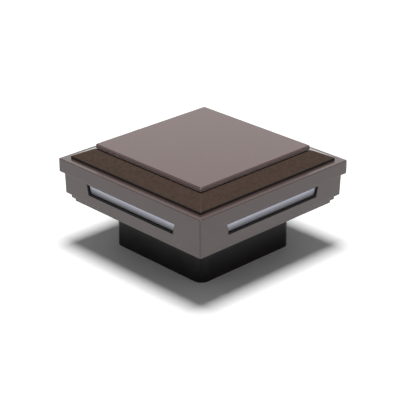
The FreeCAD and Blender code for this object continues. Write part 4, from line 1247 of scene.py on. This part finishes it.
for side in SIDES:
    spots = [
        (
            around(side, (number / (CHIP_COUNT - 1) - 0.5) * chip_span, chips_low.x, light_level),
            (math.pi / 2, 0, TURN[side]),
        )
        for number in range(CHIP_COUNT)
    ]
    chips = grow(
        "light_chips_" + side, chip_tree, spots,
        wide=CHIP_WIDE * MM,
        tall=(chips_high.z - chips_low.z) * MM,
        thick=(chips_high.x - chips_low.x) * MM,
    )
    install(smooth(chips), "base", "led_yellow", "leds_" + side)

# %% [markdown]
# ## Brass inserts
# An insert is a short brass tube with a knurl that bites into the boss, and a groove half way.
# The helper that turned the screws sweeps a star instead of a circle, and draws its radius in
# over the groove. A round bar then cuts the bore.

# %% Inserts
KNURLS = 30
INSERT_BORE = 2.05
tree, size = new_tree("knurled_insert", radius=0.0029, bore=0.00205, length=0.0056)
star = add(tree, "GeometryNodeCurveStar", {
    "Points": KNURLS, "Inner Radius": 0.93, "Outer Radius": 1.0,
}).outputs[0]
solid = turned(tree, [
    (times(tree, size["radius"], share), times(tree, size["length"], level))
    for share, level in (
        (0.93, 0.0), (1.0, 0.06), (1.0, 0.40), (0.88, 0.43),
        (0.88, 0.57), (1.0, 0.60), (1.0, 0.94), (0.93, 1.0),
    )
], outline=star)
past_end = calc(tree, "ADD", size["length"], 1.0 * MM)
bar = turned(tree, [(size["bore"], -1.0 * MM), (size["bore"], past_end)])
tube = add(tree, "GeometryNodeMeshBoolean", {"Mesh 1": solid, "Mesh 2": bar}, operation="DIFFERENCE")
insert_tree = end_tree(tree, painted(tree, on_points(tree, tube.outputs[0]), "brass"))
inserts = grow(
    "knurled_inserts", insert_tree, [((x, y, insert_low.z), UPRIGHT) for x, y in four_corners(pillar)],
    radius=INSERT_RADIUS * MM, bore=INSERT_BORE * MM, length=(insert_high.z - insert_low.z) * MM,
)
install(smooth(inserts, 30), "lid", "brass", "threaded_inserts")

# %% [markdown]
# ## Parts that keep the frame's shape
# The sleeve, the bottom plate, the seals, the boards and what stands on the driver board already
# have their final shape in the frame. They only need their finishes.

# %% Finishes of the frame's own parts
stood_for = {node for piece in scene.objects for node in piece.get("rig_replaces", [])}
for part in frame["record"]["subparts"]:
    if part["node"] not in stood_for:
        mesh = frame["nodes"][part["node"]].data
        mesh.materials.clear()
        mesh.materials.append(FINISH[part["material_slot"]])
print("kept", len(frame["nodes"]) - len(stood_for), "parts of the frame, remade", len(stood_for))

# %% [markdown]
# ## Sizes
# The size of the finished light's box is printed, in millimetres. The finished light
# has to stay inside the frame's box.

# %% Print the finished light's box
low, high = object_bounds()
print("visual box in mm:", [round(size / MM, 2) for size in high - low])
